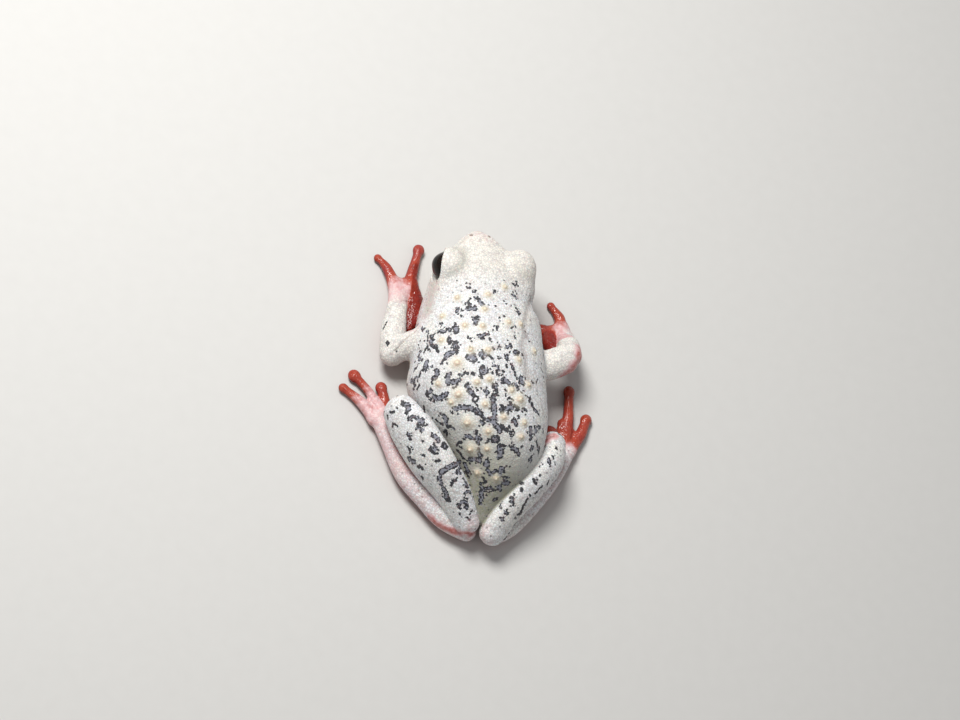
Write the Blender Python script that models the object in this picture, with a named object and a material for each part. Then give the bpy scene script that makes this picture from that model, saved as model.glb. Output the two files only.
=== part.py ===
"""Common reed frog, life size, in its daytime crouch with the limbs drawn in.

Metres, +Z up. +X is the frog's right and +Y runs to its snout. The floor is z = 0.
Every place and size below is written in units of a 32nd of the body length, so one
unit is 1 mm on a frog of 32 mm. The pieces are skin-covered flesh, modelled whole and
parted where a person would name the parts, with a clear gap at each parting.
"""

import math

import bmesh
import bpy
from mathutils import Vector

BODY_LENGTH = 0.032  # snout tip to vent
UNIT = BODY_LENGTH / 32
GAP = 0.3  # between neighbours, in units
TRUNK_SIDES = 24
SPAN_STEPS = 2  # rings added along each span between two stations
MERGE = 2e-7  # metres under which two corners are one
SHORTEST_RING = 0.2  # the least distance from a parting to the trunk's next loop
BLOCK_SIZE = 60
FULL_TURN = 2 * math.pi

# Trunk: y, x of the middle line, half width, top and underside heights.
TRUNK = [
    (-15.6, 1.05, 0.40, 3.2, 2.4),
    (-14.6, 1.15, 1.15, 4.1, 1.7),
    (-12.8, 1.65, 2.45, 5.9, 0.6),
    (-10.6, 2.20, 3.95, 8.0, -0.1),
    (-8.0, 2.00, 5.35, 9.6, -0.4),
    (-5.0, 1.10, 6.75, 10.4, -0.4),
    (-1.5, 0.30, 7.40, 10.8, -0.4),
    (1.2, 0.38, 7.20, 10.6, -0.4),
    (3.9, 0.45, 6.95, 10.1, -0.3),
    (6.2, 0.55, 6.60, 9.6, -0.1),
    (8.2, 0.28, 5.86, 9.1, 0.4),
    (9.8, 0.50, 5.45, 8.7, 0.9),
    (11.4, 0.42, 4.75, 8.3, 1.5),
    (13.3, 0.44, 3.76, 7.6, 2.1),
    (14.7, 0.34, 2.54, 6.9, 2.7),
    (15.6, 0.15, 1.40, 6.2, 3.3),
    (16.1, 0.15, 0.60, 5.5, 4.1),
]
BACK_ROUNDNESS = 2.15  # power of the section above its widest line
BELLY_ROUNDNESS = 2.6
WIDEST_AT = 0.42  # share of the height at which a section is widest
NECK_Y = 8.6  # the head is parted from the torso here

# Head
HEAD_X = 0.35
SNOUT_X = 0.15
EYE_OUT, EYE_Y, EYE_Z = 3.9, 11.55, 6.4
HEAD_TURN = 0.04  # the head is turned a little to the left: how much further forward its right side is
HEAD_ROLL = 0.17  # and rolled: how much more the left eye looks up
EYE_RADIUS = 1.65
EYE_LOOKS = (0.93, 0.2, 0.25)  # the right eye's axis before the head is turned
BROWS = {"left": (-3.25, 11.45, 6.45), "right": (4.45, 11.9, 6.5)}
BROW_SIZE = (1.75, 2.1, 1.85)
TEMPLES = {"left": (-3.45, 9.5, 5.4), "right": (4.85, 10.05, 5.5)}
TEMPLE_SIZE = (1.4, 1.9, 1.9)
LID_RING, LID_THICK = 1.42, 0.3
LID_FORWARD = 0.5  # how far the lid's ring stands out along the eye's axis
NOSTRIL_OUT, NOSTRIL_Y, NOSTRIL_RADIUS = 0.95, 15.25, 0.26
MOUTH_WIDTH = 0.24  # radius of the groove that parts the lips
MOUTH_END_Y = 9.6
MOUTH_HEIGHTS = (3.4, 4.3)  # at the corner of the mouth and at the snout
MOUTH_STEPS = 6  # stations along each half of the mouth
MOUTH_FRONT = 0.1  # the groove stops this far short of the snout's tip

# Arms: x, y, z, half width, half thickness from the root outwards, and the fingers from
# the first to the fourth, with the radius of the disc at each tip.
ARMS = {
    "left": {
        "upper": [(-5.2, 3.6, 4.8, 1.5, 1.45), (-6.8, 3.2, 3.7, 1.45, 1.4), (-8.2, 2.7, 2.6, 1.35, 1.3)],
        "fore": [(-8.5, 2.5, 2.3, 1.35, 1.35), (-8.3, 5.2, 2.0, 1.38, 1.3), (-7.85, 7.9, 1.55, 1.04, 0.9)],
        "inner": [(-6.5, 5.7, 1.2, 0.45, 0.6), (-6.0, 7.2, 1.1, 0.95, 0.85), (-5.85, 8.6, 1.0, 1.0, 0.8),
                  (-5.8, 9.9, 0.85, 0.75, 0.65), (-5.9, 11.2, 0.75, 0.55, 0.55)],
        "palm": [(-7.8, 8.1, 1.5, 1.02, 0.9), (-7.6, 9.8, 1.1, 1.1, 0.72), (-7.3, 11.0, 0.8, 1.3, 0.55)],
        "fingers": [
            [(-6.8, 9.4, 0.9, 0.65), (-5.8, 8.7, 0.7, 0.6), (-5.0, 7.9, 0.5, 0.5)],
            [(-6.6, 10.2, 0.9, 0.75), (-5.7, 9.95, 0.7, 0.62), (-4.9, 9.0, 0.5, 0.52)],
            [(-6.35, 10.9, 0.75, 0.85), (-5.85, 12.9, 0.6, 0.57), (-5.25, 15.15, 0.5, 0.52)],
            [(-7.9, 10.8, 0.75, 0.8), (-8.85, 12.85, 0.55, 0.53), (-9.75, 13.85, 0.42, 0.4)],
        ],
        "discs": (0.5, 0.55, 0.68, 0.43),
    },
    "right": {
        "upper": [(5.6, 1.6, 4.4, 1.6, 1.55), (8.0, 1.9, 4.6, 1.65, 1.5), (10.0, 2.75, 4.7, 1.6, 1.4)],
        "fore": [(10.55, 3.3, 4.5, 1.42, 1.35), (10.95, 4.7, 3.2, 1.25, 1.2), (11.12, 5.95, 1.7, 0.99, 0.85)],
        "inner": [(9.5, 4.5, 2.2, 0.7, 0.7), (9.3, 5.5, 1.6, 0.9, 0.75), (9.4, 6.4, 1.1, 0.9, 0.65),
                  (9.9, 7.2, 0.85, 0.7, 0.5)],
        "palm": [(11.1, 6.3, 1.5, 1.0, 0.86), (10.95, 7.0, 1.0, 1.05, 0.65), (10.65, 7.8, 0.8, 1.0, 0.5)],
        "fingers": [
            [(9.7, 6.1, 0.9, 0.55), (8.9, 5.6, 0.6, 0.5), (8.2, 5.1, 0.45, 0.45)],
            [(9.8, 6.7, 0.8, 0.6), (8.8, 6.6, 0.6, 0.52), (7.9, 6.5, 0.45, 0.48)],
            [(9.9, 7.1, 0.8, 0.7), (8.8, 7.4, 0.6, 0.55), (7.8, 7.7, 0.45, 0.5)],
            [(10.95, 7.6, 0.75, 0.82), (10.75, 8.95, 0.58, 0.6), (9.9, 10.2, 0.42, 0.42)],
        ],
        "discs": (0.5, 0.52, 0.55, 0.44),
    },
}

# Legs: thigh, shank and tarsus from the root outwards, then the toes from the first to the
# fifth. "broad" is the way that the shank's flattened section is wide.
LEGS = {
    "left": {
        "thigh": [(-0.7, -12.8, 3.1, 1.4, 1.4), (-3.6, -9.4, 2.3, 1.9, 1.6), (-6.9, -5.6, 2.8, 1.5, 1.4)],
        "shank": [(-8.15, -4.45, 4.5, 2.0, 1.5), (-6.9, -6.5, 4.8, 2.65, 1.7), (-4.7, -9.7, 4.8, 2.8, 1.7),
                  (-2.05, -12.9, 3.9, 2.15, 1.45), (-0.4, -15.5, 2.8, 1.5, 1.25)],
        "broad": Vector((0.53, 0.0, 0.85)),
        "tarsus": [(0.0, -16.05, 1.4, 1.15, 1.05), (-2.4, -14.85, 1.4, 1.25, 1.15),
                   (-4.45, -12.8, 1.4, 1.25, 1.15), (-6.65, -10.3, 1.35, 1.25, 1.1),
                   (-8.3, -7.0, 1.25, 1.05, 1.0), (-9.5, -4.4, 1.0, 0.95, 0.8)],
        "toes": [
            [(-9.0, -5.0, 0.8, 0.5), (-8.2, -5.1, 0.6, 0.46), (-7.4, -5.0, 0.42, 0.42)],
            [(-9.0, -4.6, 0.8, 0.55), (-8.2, -4.1, 0.6, 0.5), (-7.5, -3.7, 0.45, 0.46)],
            [(-8.6, -4.3, 0.8, 0.65), (-8.8, -2.5, 0.6, 0.58), (-9.2, -0.9, 0.5, 0.58)],
            [(-9.2, -3.6, 0.9, 0.6), (-10.5, -1.5, 0.6, 0.46), (-12.1, 0.2, 0.45, 0.56)],
            [(-10.0, -4.5, 0.9, 0.76), (-11.4, -2.7, 0.65, 0.58), (-13.3, -1.2, 0.42, 0.46)],
        ],
        "discs": (0.5, 0.55, 0.66, 0.72, 0.5),
    },
    "right": {
        "thigh": [(2.9, -13.0, 3.1, 1.4, 1.4), (5.2, -10.2, 2.3, 1.9, 1.6), (8.2, -6.6, 2.9, 1.5, 1.4),
                  (8.9, -5.1, 2.3, 1.05, 1.0)],
        "shank": [(8.8, -6.65, 4.1, 1.5, 1.3), (8.15, -8.95, 4.5, 1.72, 1.4), (6.0, -11.75, 4.5, 1.95, 1.35),
                  (3.8, -14.35, 3.5, 1.85, 1.3), (2.5, -16.4, 2.4, 1.6, 1.3)],
        "broad": Vector((-0.72, 0.0, 0.69)),
        "tarsus": [(2.9, -16.4, 1.4, 1.05, 1.05), (4.75, -15.25, 1.4, 1.1, 1.1),
                   (6.75, -13.05, 1.35, 1.15, 1.1), (8.9, -10.3, 1.3, 1.15, 1.0),
                   (10.45, -7.9, 1.1, 1.05, 0.9), (11.3, -6.3, 0.95, 1.0, 0.75)],
        "toes": [
            [(10.8, -6.5, 0.8, 0.5), (9.8, -6.0, 0.6, 0.46), (9.0, -5.6, 0.42, 0.42)],
            [(10.8, -6.2, 0.8, 0.55), (9.8, -5.2, 0.6, 0.5), (9.3, -4.4, 0.45, 0.48)],
            [(10.6, -5.6, 0.8, 0.6), (10.75, -4.4, 0.6, 0.55), (11.0, -3.2, 0.45, 0.48)],
            [(11.15, -5.6, 0.85, 0.7), (11.65, -2.6, 0.6, 0.6), (11.85, 0.45, 0.48, 0.54)],
            [(11.75, -6.2, 0.85, 0.7), (13.05, -4.3, 0.6, 0.62), (13.75, -2.6, 0.45, 0.58)],
        ],
        "discs": (0.5, 0.55, 0.5, 0.66, 0.66),
    },
}
DISC_THICKNESS = 0.36
LIMB_SIDES = 12
CAP_ANGLES = (32, 60, 82)  # degrees at which a limb's round end has its loops
TIP_ANGLES = (45, 78)  # and a digit's
DIGIT_SIDES = 8
WEB_THICKNESS = 0.5
HAND_WEB, FOOT_WEB = 0.3, 0.5  # how far along the digits their webs reach, as a share
WEB_HOLLOW = 0.62  # how deep the web's free edge lies, as a share of its reach
FLAT_ON_FLOOR = Vector((1, 0, 0))
WARTS = [
    (-2.6, 7.6), (0.7, 8.0), (3.2, 7.9), (0.3, 6.2), (-1.4, 4.8), (0.2, 4.7), (2.6, 5.2), (-3.8, 3.2),
    (-2.3, 1.0), (1.0, -0.9), (2.2, -0.6), (-2.6, -1.6), (-4.2, -1.0), (3.4, 0.9), (-1.2, -5.2),
    (-1.0, -7.6), (0.6, -3.0), (0.9, -6.0), (0.7, -7.9), (2.5, -4.4), (3.7, -1.7), (4.4, -2.7),
    (4.7, -5.3), (4.6, -7.0), (1.4, -10.9), (-0.2, -10.3),
]
WART_SIZE = (0.62, 0.62, 0.42)
WART_SUNK = 0.24  # how deep the middle of a wart lies in the skin
NECK_CLEARANCE = 1  # no wart stands nearer than this to the parting at the neck

SKIN = {"colour": (0.82, 0.80, 0.74, 1), "roughness": 0.5, "metallic": 0.0}
RED = {"colour": (0.62, 0.06, 0.03, 1), "roughness": 0.35, "metallic": 0.0}
DARK = {"colour": (0.02, 0.015, 0.01, 1), "roughness": 0.08, "metallic": 0.0}


def collection_named(name):
    found = bpy.data.collections.new(name)
    bpy.context.scene.collection.children.link(found)
    return found


def smooth_stations(stations, steps=SPAN_STEPS):
    """The stations with more between them, on a smooth curve through them all."""
    ends = [stations[0], *stations, stations[-1]]
    out = []
    for i in range(1, len(ends) - 2):
        before, start, stop, after = ends[i - 1 : i + 3]
        for step in range(steps):
            t = step / steps
            out.append(tuple(
                0.5 * (2 * b + (c - a) * t + (2 * a - 5 * b + 4 * c - d) * t**2
                       + (3 * b - a - 3 * c + d) * t**3)
                for a, b, c, d in zip(before, start, stop, after)
            ))
    out.append(tuple(stations[-1]))
    return out


def skinned(name, rings, home):
    """A closed solid through the rings, each a loop of points, with a face on both ends."""
    shape = bmesh.new()
    loops = [[shape.verts.new(point * UNIT) for point in ring] for ring in rings]
    for near, far in zip(loops, loops[1:]):
        count = len(near)
        for k in range(count):
            shape.faces.new((near[k], near[(k + 1) % count], far[(k + 1) % count], far[k]))
    shape.faces.new(loops[0])
    shape.faces.new(loops[-1])
    bmesh.ops.recalc_face_normals(shape, faces=shape.faces)
    bmesh.ops.triangulate(shape, faces=shape.faces)
    return as_object(name, shape, home)


def as_object(name, shape, home):
    mesh = bpy.data.meshes.new(name)
    shape.to_mesh(mesh)
    shape.free()
    made = bpy.data.objects.new(name, mesh)
    home.objects.link(made)
    return made


def section(y, x, half_width, top, under, grow=0.0):
    """One loop of the trunk: rounded over the back and flatter under the belly."""
    middle = under + WIDEST_AT * (top - under)
    loop = []
    for k in range(TRUNK_SIDES):
        a = FULL_TURN * k / TRUNK_SIDES
        power = BACK_ROUNDNESS if math.sin(a) > 0 else BELLY_ROUNDNESS
        height = (top - middle if math.sin(a) > 0 else middle - under) + grow
        across = math.copysign(abs(math.cos(a)) ** (2 / power), math.cos(a))
        up = math.copysign(abs(math.sin(a)) ** (2 / power), math.sin(a))
        loop.append(Vector((x + (half_width + grow) * across, y, middle + height * up)))
    return loop


def trunk_at(y):
    """The trunk's station at y, on the smooth curve through the stations."""
    path = smooth_stations(TRUNK, 12)
    for low, high in zip(path, path[1:]):
        if low[0] <= y <= high[0]:
            share = (y - low[0]) / (high[0] - low[0])
            return tuple(a + (b - a) * share for a, b in zip(low, high))
    return path[0] if y < path[0][0] else path[-1]


def trunk_piece(name, y_from, y_to, home):
    """The trunk between two places along it."""
    inside = [s for s in smooth_stations(TRUNK) if y_from + SHORTEST_RING < s[0] < y_to - SHORTEST_RING]
    stations = [trunk_at(y_from), *inside, trunk_at(y_to)]
    return skinned(name, [section(*s) for s in stations], home)


def tube(name, stations, side, home, grow=0.0, sides=LIMB_SIDES, blunt=(False, False), steps=SPAN_STEPS):
    """A limb or digit: elliptical loops along its stations, with round ends unless blunt."""
    path = smooth_stations([s if len(s) == 5 else (*s, s[3]) for s in stations], steps)
    spots = [Vector(s[:3]) for s in path]
    rings = []
    ways = []
    for i in range(len(path)):
        ahead, behind = spots[min(i + 1, len(path) - 1)], spots[max(i - 1, 0)]
        ways.append((ahead - behind).normalized())

    def loop(centre, way, width, thickness):
        across = (side - way * side.dot(way)).normalized()
        up = way.cross(across).normalized()
        turn = [FULL_TURN * k / sides for k in range(sides)]
        return [centre + across * width * math.cos(a) + up * thickness * math.sin(a) for a in turn]

    angles = TIP_ANGLES if sides == DIGIT_SIDES else CAP_ANGLES

    def cap(i, sign):
        width, thickness = path[i][3] + grow, path[i][4] + grow
        reach = min(width, thickness)
        loops = []
        for angle in angles:
            lean = math.radians(angle)
            centre = spots[i] + ways[i] * sign * reach * math.sin(lean)
            loops.append(loop(centre, ways[i], width * math.cos(lean), thickness * math.cos(lean)))
        return loops

    if not blunt[0]:
        rings += reversed(cap(0, -1))
    for i, station in enumerate(path):
        rings.append(loop(spots[i], ways[i], station[3] + grow, station[4] + grow))
    if not blunt[1]:
        rings += cap(len(path) - 1, 1)
    return skinned(name, rings, home)


def ball(name, centre, size, home, segments=16, rings=10, grow=0.0):
    """An ellipsoid, its half axes along x, y and z."""
    shape = bmesh.new()
    bmesh.ops.create_uvsphere(shape, u_segments=segments, v_segments=rings, radius=1)
    for vertex in shape.verts:
        vertex.co = Vector(
            [(c + v * (s + grow)) * UNIT for c, v, s in zip(centre, vertex.co, size)]
        )
    bmesh.ops.triangulate(shape, faces=shape.faces)
    return as_object(name, shape, home)


def settle(piece):
    """Take the shape that the piece's modifiers give as its own mesh."""
    graph = bpy.context.evaluated_depsgraph_get()
    shape = bpy.data.meshes.new_from_object(piece.evaluated_get(graph))
    piece.modifiers.clear()
    old = piece.data
    piece.data = shape
    bpy.data.meshes.remove(old)


def combine(piece, others, operation, solver="EXACT"):
    """Join the others to the piece, or cut them from it, and remove them."""
    tools = collection_named("tools")
    for other in others:
        for home in list(other.users_collection):
            home.objects.unlink(other)
        tools.objects.link(other)
    change = piece.modifiers.new(operation.lower(), "BOOLEAN")
    change.operation = operation
    change.operand_type = "COLLECTION"
    change.collection = tools
    change.solver = solver
    settle(piece)
    for other in others:
        bpy.data.objects.remove(other)
    bpy.data.collections.remove(tools)
    keep_largest(piece)


def fused(pieces):
    """The pieces joined into the first of them."""
    first, *rest = pieces
    combine(first, rest, "UNION")
    return first


def keep_largest(piece):
    """Keep the piece's largest closed surface, which drops scraps and fills sealed hollows."""
    shape = bmesh.new()
    shape.from_mesh(piece.data)
    bmesh.ops.triangulate(shape, faces=shape.faces)
    bmesh.ops.remove_doubles(shape, verts=shape.verts, dist=MERGE)
    left = set(shape.faces)
    surfaces = []
    while left:
        seed = left.pop()
        surface, edge_of_search = [seed], [seed]
        while edge_of_search:
            face = edge_of_search.pop()
            for edge in face.edges:
                for other in edge.link_faces:
                    if other in left:
                        left.remove(other)
                        surface.append(other)
                        edge_of_search.append(other)
        surfaces.append(surface)
    surfaces.sort(key=lambda faces: -abs(volume(faces)))
    loose = [face for surface in surfaces[1:] for face in surface]
    bmesh.ops.delete(shape, geom=loose, context="FACES")
    shape.to_mesh(piece.data)
    shape.free()


def volume(faces):
    """Volume within a closed surface of triangles."""
    return sum(f.verts[0].co.dot(f.verts[1].co.cross(f.verts[2].co)) for f in faces) / 6


def block(name, middle, home):
    """A cube larger than the frog, to cut a flat."""
    shape = bmesh.new()
    bmesh.ops.create_cube(shape, size=BLOCK_SIZE * UNIT)
    bmesh.ops.translate(shape, verts=shape.verts, vec=Vector(middle) * UNIT)
    return as_object(name, shape, home)


def digits(limb, key, home, grow=0.0):
    """The fingers or toes of a limb, each with its round flat disc at the tip."""
    made = []
    for i, stations in enumerate(limb[key]):
        made.append(tube(f"digit_{i}", stations, FLAT_ON_FLOOR, home, grow, DIGIT_SIDES, (True, False), 1))
        tip, radius = stations[-1], limb["discs"][i]
        size = (radius, radius, DISC_THICKNESS)
        made.append(ball(f"disc_{i}", tip[:3], size, home, 9, 5, grow))
    return made


def web(name, first, second, reach, home, grow=0.0):
    """The skin between two digits: a thin plate from their roots, hollowed at its free edge."""
    def along(stations, share):
        path = smooth_stations(stations, 6)
        return Vector(path[int(share * (len(path) - 1))][:3])

    outline = [along(first, 0.0), along(first, reach * 0.5), along(first, reach)]
    outline += [(along(first, reach * WEB_HOLLOW) + along(second, reach * WEB_HOLLOW)) / 2]
    outline += [along(second, reach), along(second, reach * 0.5), along(second, 0.0)]
    half = Vector((0, 0, WEB_THICKNESS / 2 + grow))
    return skinned(name, [[p - half for p in outline], [p + half for p in outline]], home)


def webs(limb_digits, reach, home, grow):
    pairs = zip(limb_digits, limb_digits[1:])
    return [web(f"web_{i}", first, second, reach, home, grow) for i, (first, second) in enumerate(pairs)]


def hand_pieces(side, home, grow=0.0):
    arm = ARMS[side]
    palm = tube("palm", arm["palm"], FLAT_ON_FLOOR, home, grow, LIMB_SIDES, (grow == 0.0, False))
    return [palm, *digits(arm, "fingers", home, grow), *webs(arm["fingers"], HAND_WEB, home, grow)]


def foot_pieces(side, home, grow=0.0):
    leg = LEGS[side]
    tarsus = tube("tarsus", leg["tarsus"], FLAT_ON_FLOOR, home, grow)
    return [tarsus, *digits(leg, "toes", home, grow), *webs(leg["toes"], FOOT_WEB, home, grow)]


def upper_arm(side, home, grow=0.0):
    return tube(f"upper_arm_{side}", ARMS[side]["upper"], Vector((0, 1, 0)), home, grow)


def forearm(side, home, grow=0.0):
    """The forearm, blunt at the wrist, and the soft inner side that the hand leans on."""
    arm = ARMS[side]
    outer = tube(f"forearm_{side}", arm["fore"], FLAT_ON_FLOOR, home, grow, LIMB_SIDES, (False, True))
    return [outer, tube("inner", arm["inner"], FLAT_ON_FLOOR, home, grow)]


def thigh(side, home, grow=0.0):
    return tube(f"thigh_{side}", LEGS[side]["thigh"], FLAT_ON_FLOOR, home, grow)


def shank(side, home, grow=0.0):
    return tube(f"shank_{side}", LEGS[side]["shank"], LEGS[side]["broad"], home, grow)


def on_turned_head(place, sign):
    """A place given for the right side of a straight head, on either side of the turned one."""
    out, y, z = place
    return Vector((HEAD_X + sign * out, y + HEAD_TURN * sign * out, z))


def eye(side, home, grow=0.0):
    sign = -1 if side == "left" else 1
    centre = on_turned_head((EYE_OUT, EYE_Y, EYE_Z), sign)
    return ball(f"eye_{side}", centre, (EYE_RADIUS,) * 3, home, 16, 10, grow)


def lid_ring(side, home):
    """The thickened rim of both lids, a ring round the eye."""
    sign = -1 if side == "left" else 1
    out, forward, up = EYE_LOOKS
    looks = Vector((sign * out, forward, up - sign * HEAD_ROLL)).normalized()
    centre = on_turned_head((EYE_OUT, EYE_Y, EYE_Z), sign) + looks * LID_FORWARD
    across = looks.cross(Vector((0, 0, 1))).normalized()
    up = across.cross(looks)
    bpy.ops.mesh.primitive_torus_add(
        major_radius=LID_RING * UNIT, minor_radius=LID_THICK * UNIT, major_segments=16, minor_segments=5
    )
    ring = bpy.context.object
    for vertex in ring.data.vertices:
        x, y, z = vertex.co
        vertex.co = centre * UNIT + across * x + up * y + looks * z
    for found in list(ring.users_collection):
        found.objects.unlink(ring)
    home.objects.link(ring)
    return outward(ring)


def outward(piece):
    """Turn every face of a closed piece outwards."""
    shape = bmesh.new()
    shape.from_mesh(piece.data)
    bmesh.ops.recalc_face_normals(shape, faces=shape.faces)
    shape.to_mesh(piece.data)
    shape.free()
    return piece


def on_head(y, z, sign):
    """The point of the head's side at a height."""
    _, x, half_width, top, under = trunk_at(y)
    middle = under + WIDEST_AT * (top - under)
    rise, power = (top - middle, BACK_ROUNDNESS) if z > middle else (middle - under, BELLY_ROUNDNESS)
    share = max(0.0, 1 - min(1.0, abs(z - middle) / rise) ** power)
    return Vector((x + sign * half_width * share ** (1 / power), y, z))


def mouth(home):
    """A thin tube along the lips, whose inner half cuts the line of the mouth."""
    low, high = MOUTH_HEIGHTS
    front = TRUNK[-1][0]
    route = []
    for sign in (-1, 1):
        side = []
        for i in range(MOUTH_STEPS + 1):
            y = MOUTH_END_Y + (front - MOUTH_FRONT - MOUTH_END_Y) * math.sin(math.pi / 2 * i / MOUTH_STEPS)
            share = (y - MOUTH_END_Y) / (front - MOUTH_END_Y)
            side.append(on_head(y, low + (high - low) * share, sign))
        route += side if sign < 0 else reversed(side)
    stations = [(*p, MOUTH_WIDTH) for p in route]
    return tube("mouth", stations, Vector((0, 0, 1)), home, 0.0, 5, (False, False), 1)


def on_back(x, y):
    """The point of the back above (x, y)."""
    _, axis, half_width, top, under = trunk_at(y)
    middle = under + WIDEST_AT * (top - under)
    share = min(1.0, abs(x - axis) / half_width)
    return Vector((x, y, middle + (top - middle) * (1 - share**BACK_ROUNDNESS) ** (1 / BACK_ROUNDNESS)))


def warts(home, y_from, y_to):
    made = []
    for x, y in WARTS:
        if y_from < y < y_to:
            made.append(ball("wart", on_back(x, y) - Vector((0, 0, WART_SUNK)), WART_SIZE, home, 7, 4))
    return made


def paint(piece, name, look):
    """Give the piece its own material and smooth shading."""
    surface = bpy.data.materials.new(name)
    surface.use_nodes = True
    shader = surface.node_tree.nodes["Principled BSDF"]
    shader.inputs["Base Color"].default_value = look["colour"]
    shader.inputs["Roughness"].default_value = look["roughness"]
    shader.inputs["Metallic"].default_value = look["metallic"]
    piece.data.materials.clear()
    piece.data.materials.append(surface)
    piece.data.shade_smooth()
    piece.data.set_sharp_from_angle(angle=math.radians(40))


def build():
    for found in list(bpy.data.objects):
        bpy.data.objects.remove(found)
    frog = collection_named("reed_frog")
    bench = collection_named("cutters")
    sides = ("left", "right")
    nodes = {}

    for side in sides:
        nodes[f"shank_{side}"] = shank(side, frog)
        nodes[f"forearm_{side}"] = fused(forearm(side, frog))
        nodes[f"eye_{side}"] = eye(side, frog)
        nodes[f"thigh_{side}"] = thigh(side, frog)
        nodes[f"upper_arm_{side}"] = upper_arm(side, frog)
        nodes[f"hand_{side}"] = fused(hand_pieces(side, frog))
        nodes[f"foot_{side}"] = fused(foot_pieces(side, frog))
    nodes["torso"] = trunk_piece("torso", TRUNK[0][0], NECK_Y - GAP / 2, frog)
    nodes["head"] = trunk_piece("head", NECK_Y + GAP / 2, TRUNK[-1][0], frog)
    brows = []
    for side in sides:
        brows.append(ball("brow", BROWS[side], BROW_SIZE, frog, 14, 8))
        brows.append(ball("temple", TEMPLES[side], TEMPLE_SIZE, frog, 10, 6))
        brows.append(lid_ring(side, frog))
    combine(nodes["head"], brows + warts(frog, NECK_Y + NECK_CLEARANCE, TRUNK[-1][0]), "UNION")
    combine(nodes["torso"], warts(frog, TRUNK[0][0], NECK_Y - NECK_CLEARANCE), "UNION")

    combine(nodes["shank_right"], [shank("left", bench, GAP)], "DIFFERENCE")
    for side in sides:
        both = [shank(s, bench, GAP) for s in sides]
        combine(nodes[f"thigh_{side}"], both, "DIFFERENCE")
        combine(nodes[f"upper_arm_{side}"], forearm(side, bench, GAP), "DIFFERENCE")
        combine(nodes[f"hand_{side}"], forearm(side, bench, GAP), "DIFFERENCE")
        near = [shank(s, bench, GAP) for s in sides] + [thigh(s, bench, GAP) for s in sides]
        combine(nodes[f"foot_{side}"], near, "DIFFERENCE")
    near = []
    for side in sides:
        near += [shank(side, bench, GAP), thigh(side, bench, GAP), *forearm(side, bench, GAP)]
        near += [upper_arm(side, bench, GAP), *hand_pieces(side, bench, GAP), *foot_pieces(side, bench, GAP)]
    combine(nodes["torso"], near, "DIFFERENCE")
    near = [mouth(bench), block("behind_neck", (0, NECK_Y + GAP / 2 - BLOCK_SIZE / 2, 0), bench)]
    for side, sign in zip(sides, (-1, 1)):
        near += [eye(side, bench, GAP), *hand_pieces(side, bench, GAP)]
        nostril = on_back(SNOUT_X + sign * NOSTRIL_OUT, NOSTRIL_Y)
        near.append(ball("nostril", nostril, (NOSTRIL_RADIUS,) * 3, bench, 8, 6))
    combine(nodes["head"], near, "DIFFERENCE")

    for name, node in nodes.items():
        if not name.startswith("eye"):
            combine(node, [block("below_floor", (0, 0, -BLOCK_SIZE / 2), bench)], "DIFFERENCE")
        node.name = name
        look = DARK if name.startswith("eye") else RED if name[:4] in ("hand", "foot") else SKIN
        paint(node, name, look)
    set_on_origin(nodes.values())
    return nodes


def set_on_origin(pieces):
    """Move every piece so that the frog's box stands centred on the origin."""
    corners = [v.co for piece in pieces for v in piece.data.vertices]
    middle = Vector([(min(c[i] for c in corners) + max(c[i] for c in corners)) / 2 for i in range(3)])
    for piece in pieces:
        piece.location = (-middle.x, -middle.y, 0)


build()
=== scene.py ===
"""The looks of the common reed frog: one skin over all the flesh, the two eyes, floor, light and camera.

The skin is modelled as clay on a fine grid. Each grid point holds its distance to the skin, forms
are pressed together with soft seams, and the zero surface becomes one mesh. Sizes are in mm on the
frog's own frame, which the solids share: +X is the frog's right, +Y runs to the snout, z = 0 is the
floor. The skin then gets its warts and folds, and the marks that its material paints.
"""

import math

import bmesh
import bpy
import numpy as np
from mathutils import Matrix, Vector, noise
from mathutils.bvhtree import BVHTree


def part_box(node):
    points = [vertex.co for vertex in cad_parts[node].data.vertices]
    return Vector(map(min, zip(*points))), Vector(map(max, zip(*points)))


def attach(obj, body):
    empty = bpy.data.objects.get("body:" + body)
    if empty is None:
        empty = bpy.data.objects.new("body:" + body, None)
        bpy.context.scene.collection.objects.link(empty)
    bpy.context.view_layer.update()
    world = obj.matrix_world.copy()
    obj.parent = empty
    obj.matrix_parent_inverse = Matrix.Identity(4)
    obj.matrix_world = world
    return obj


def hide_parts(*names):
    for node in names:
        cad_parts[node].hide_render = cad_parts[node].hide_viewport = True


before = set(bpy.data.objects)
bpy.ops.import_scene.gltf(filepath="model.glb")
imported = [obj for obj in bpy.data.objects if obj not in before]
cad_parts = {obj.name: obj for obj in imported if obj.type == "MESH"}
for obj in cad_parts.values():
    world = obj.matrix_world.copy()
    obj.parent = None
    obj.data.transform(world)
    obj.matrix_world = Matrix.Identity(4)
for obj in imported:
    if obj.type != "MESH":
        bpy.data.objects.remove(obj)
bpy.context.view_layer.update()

MM = 0.001

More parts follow.
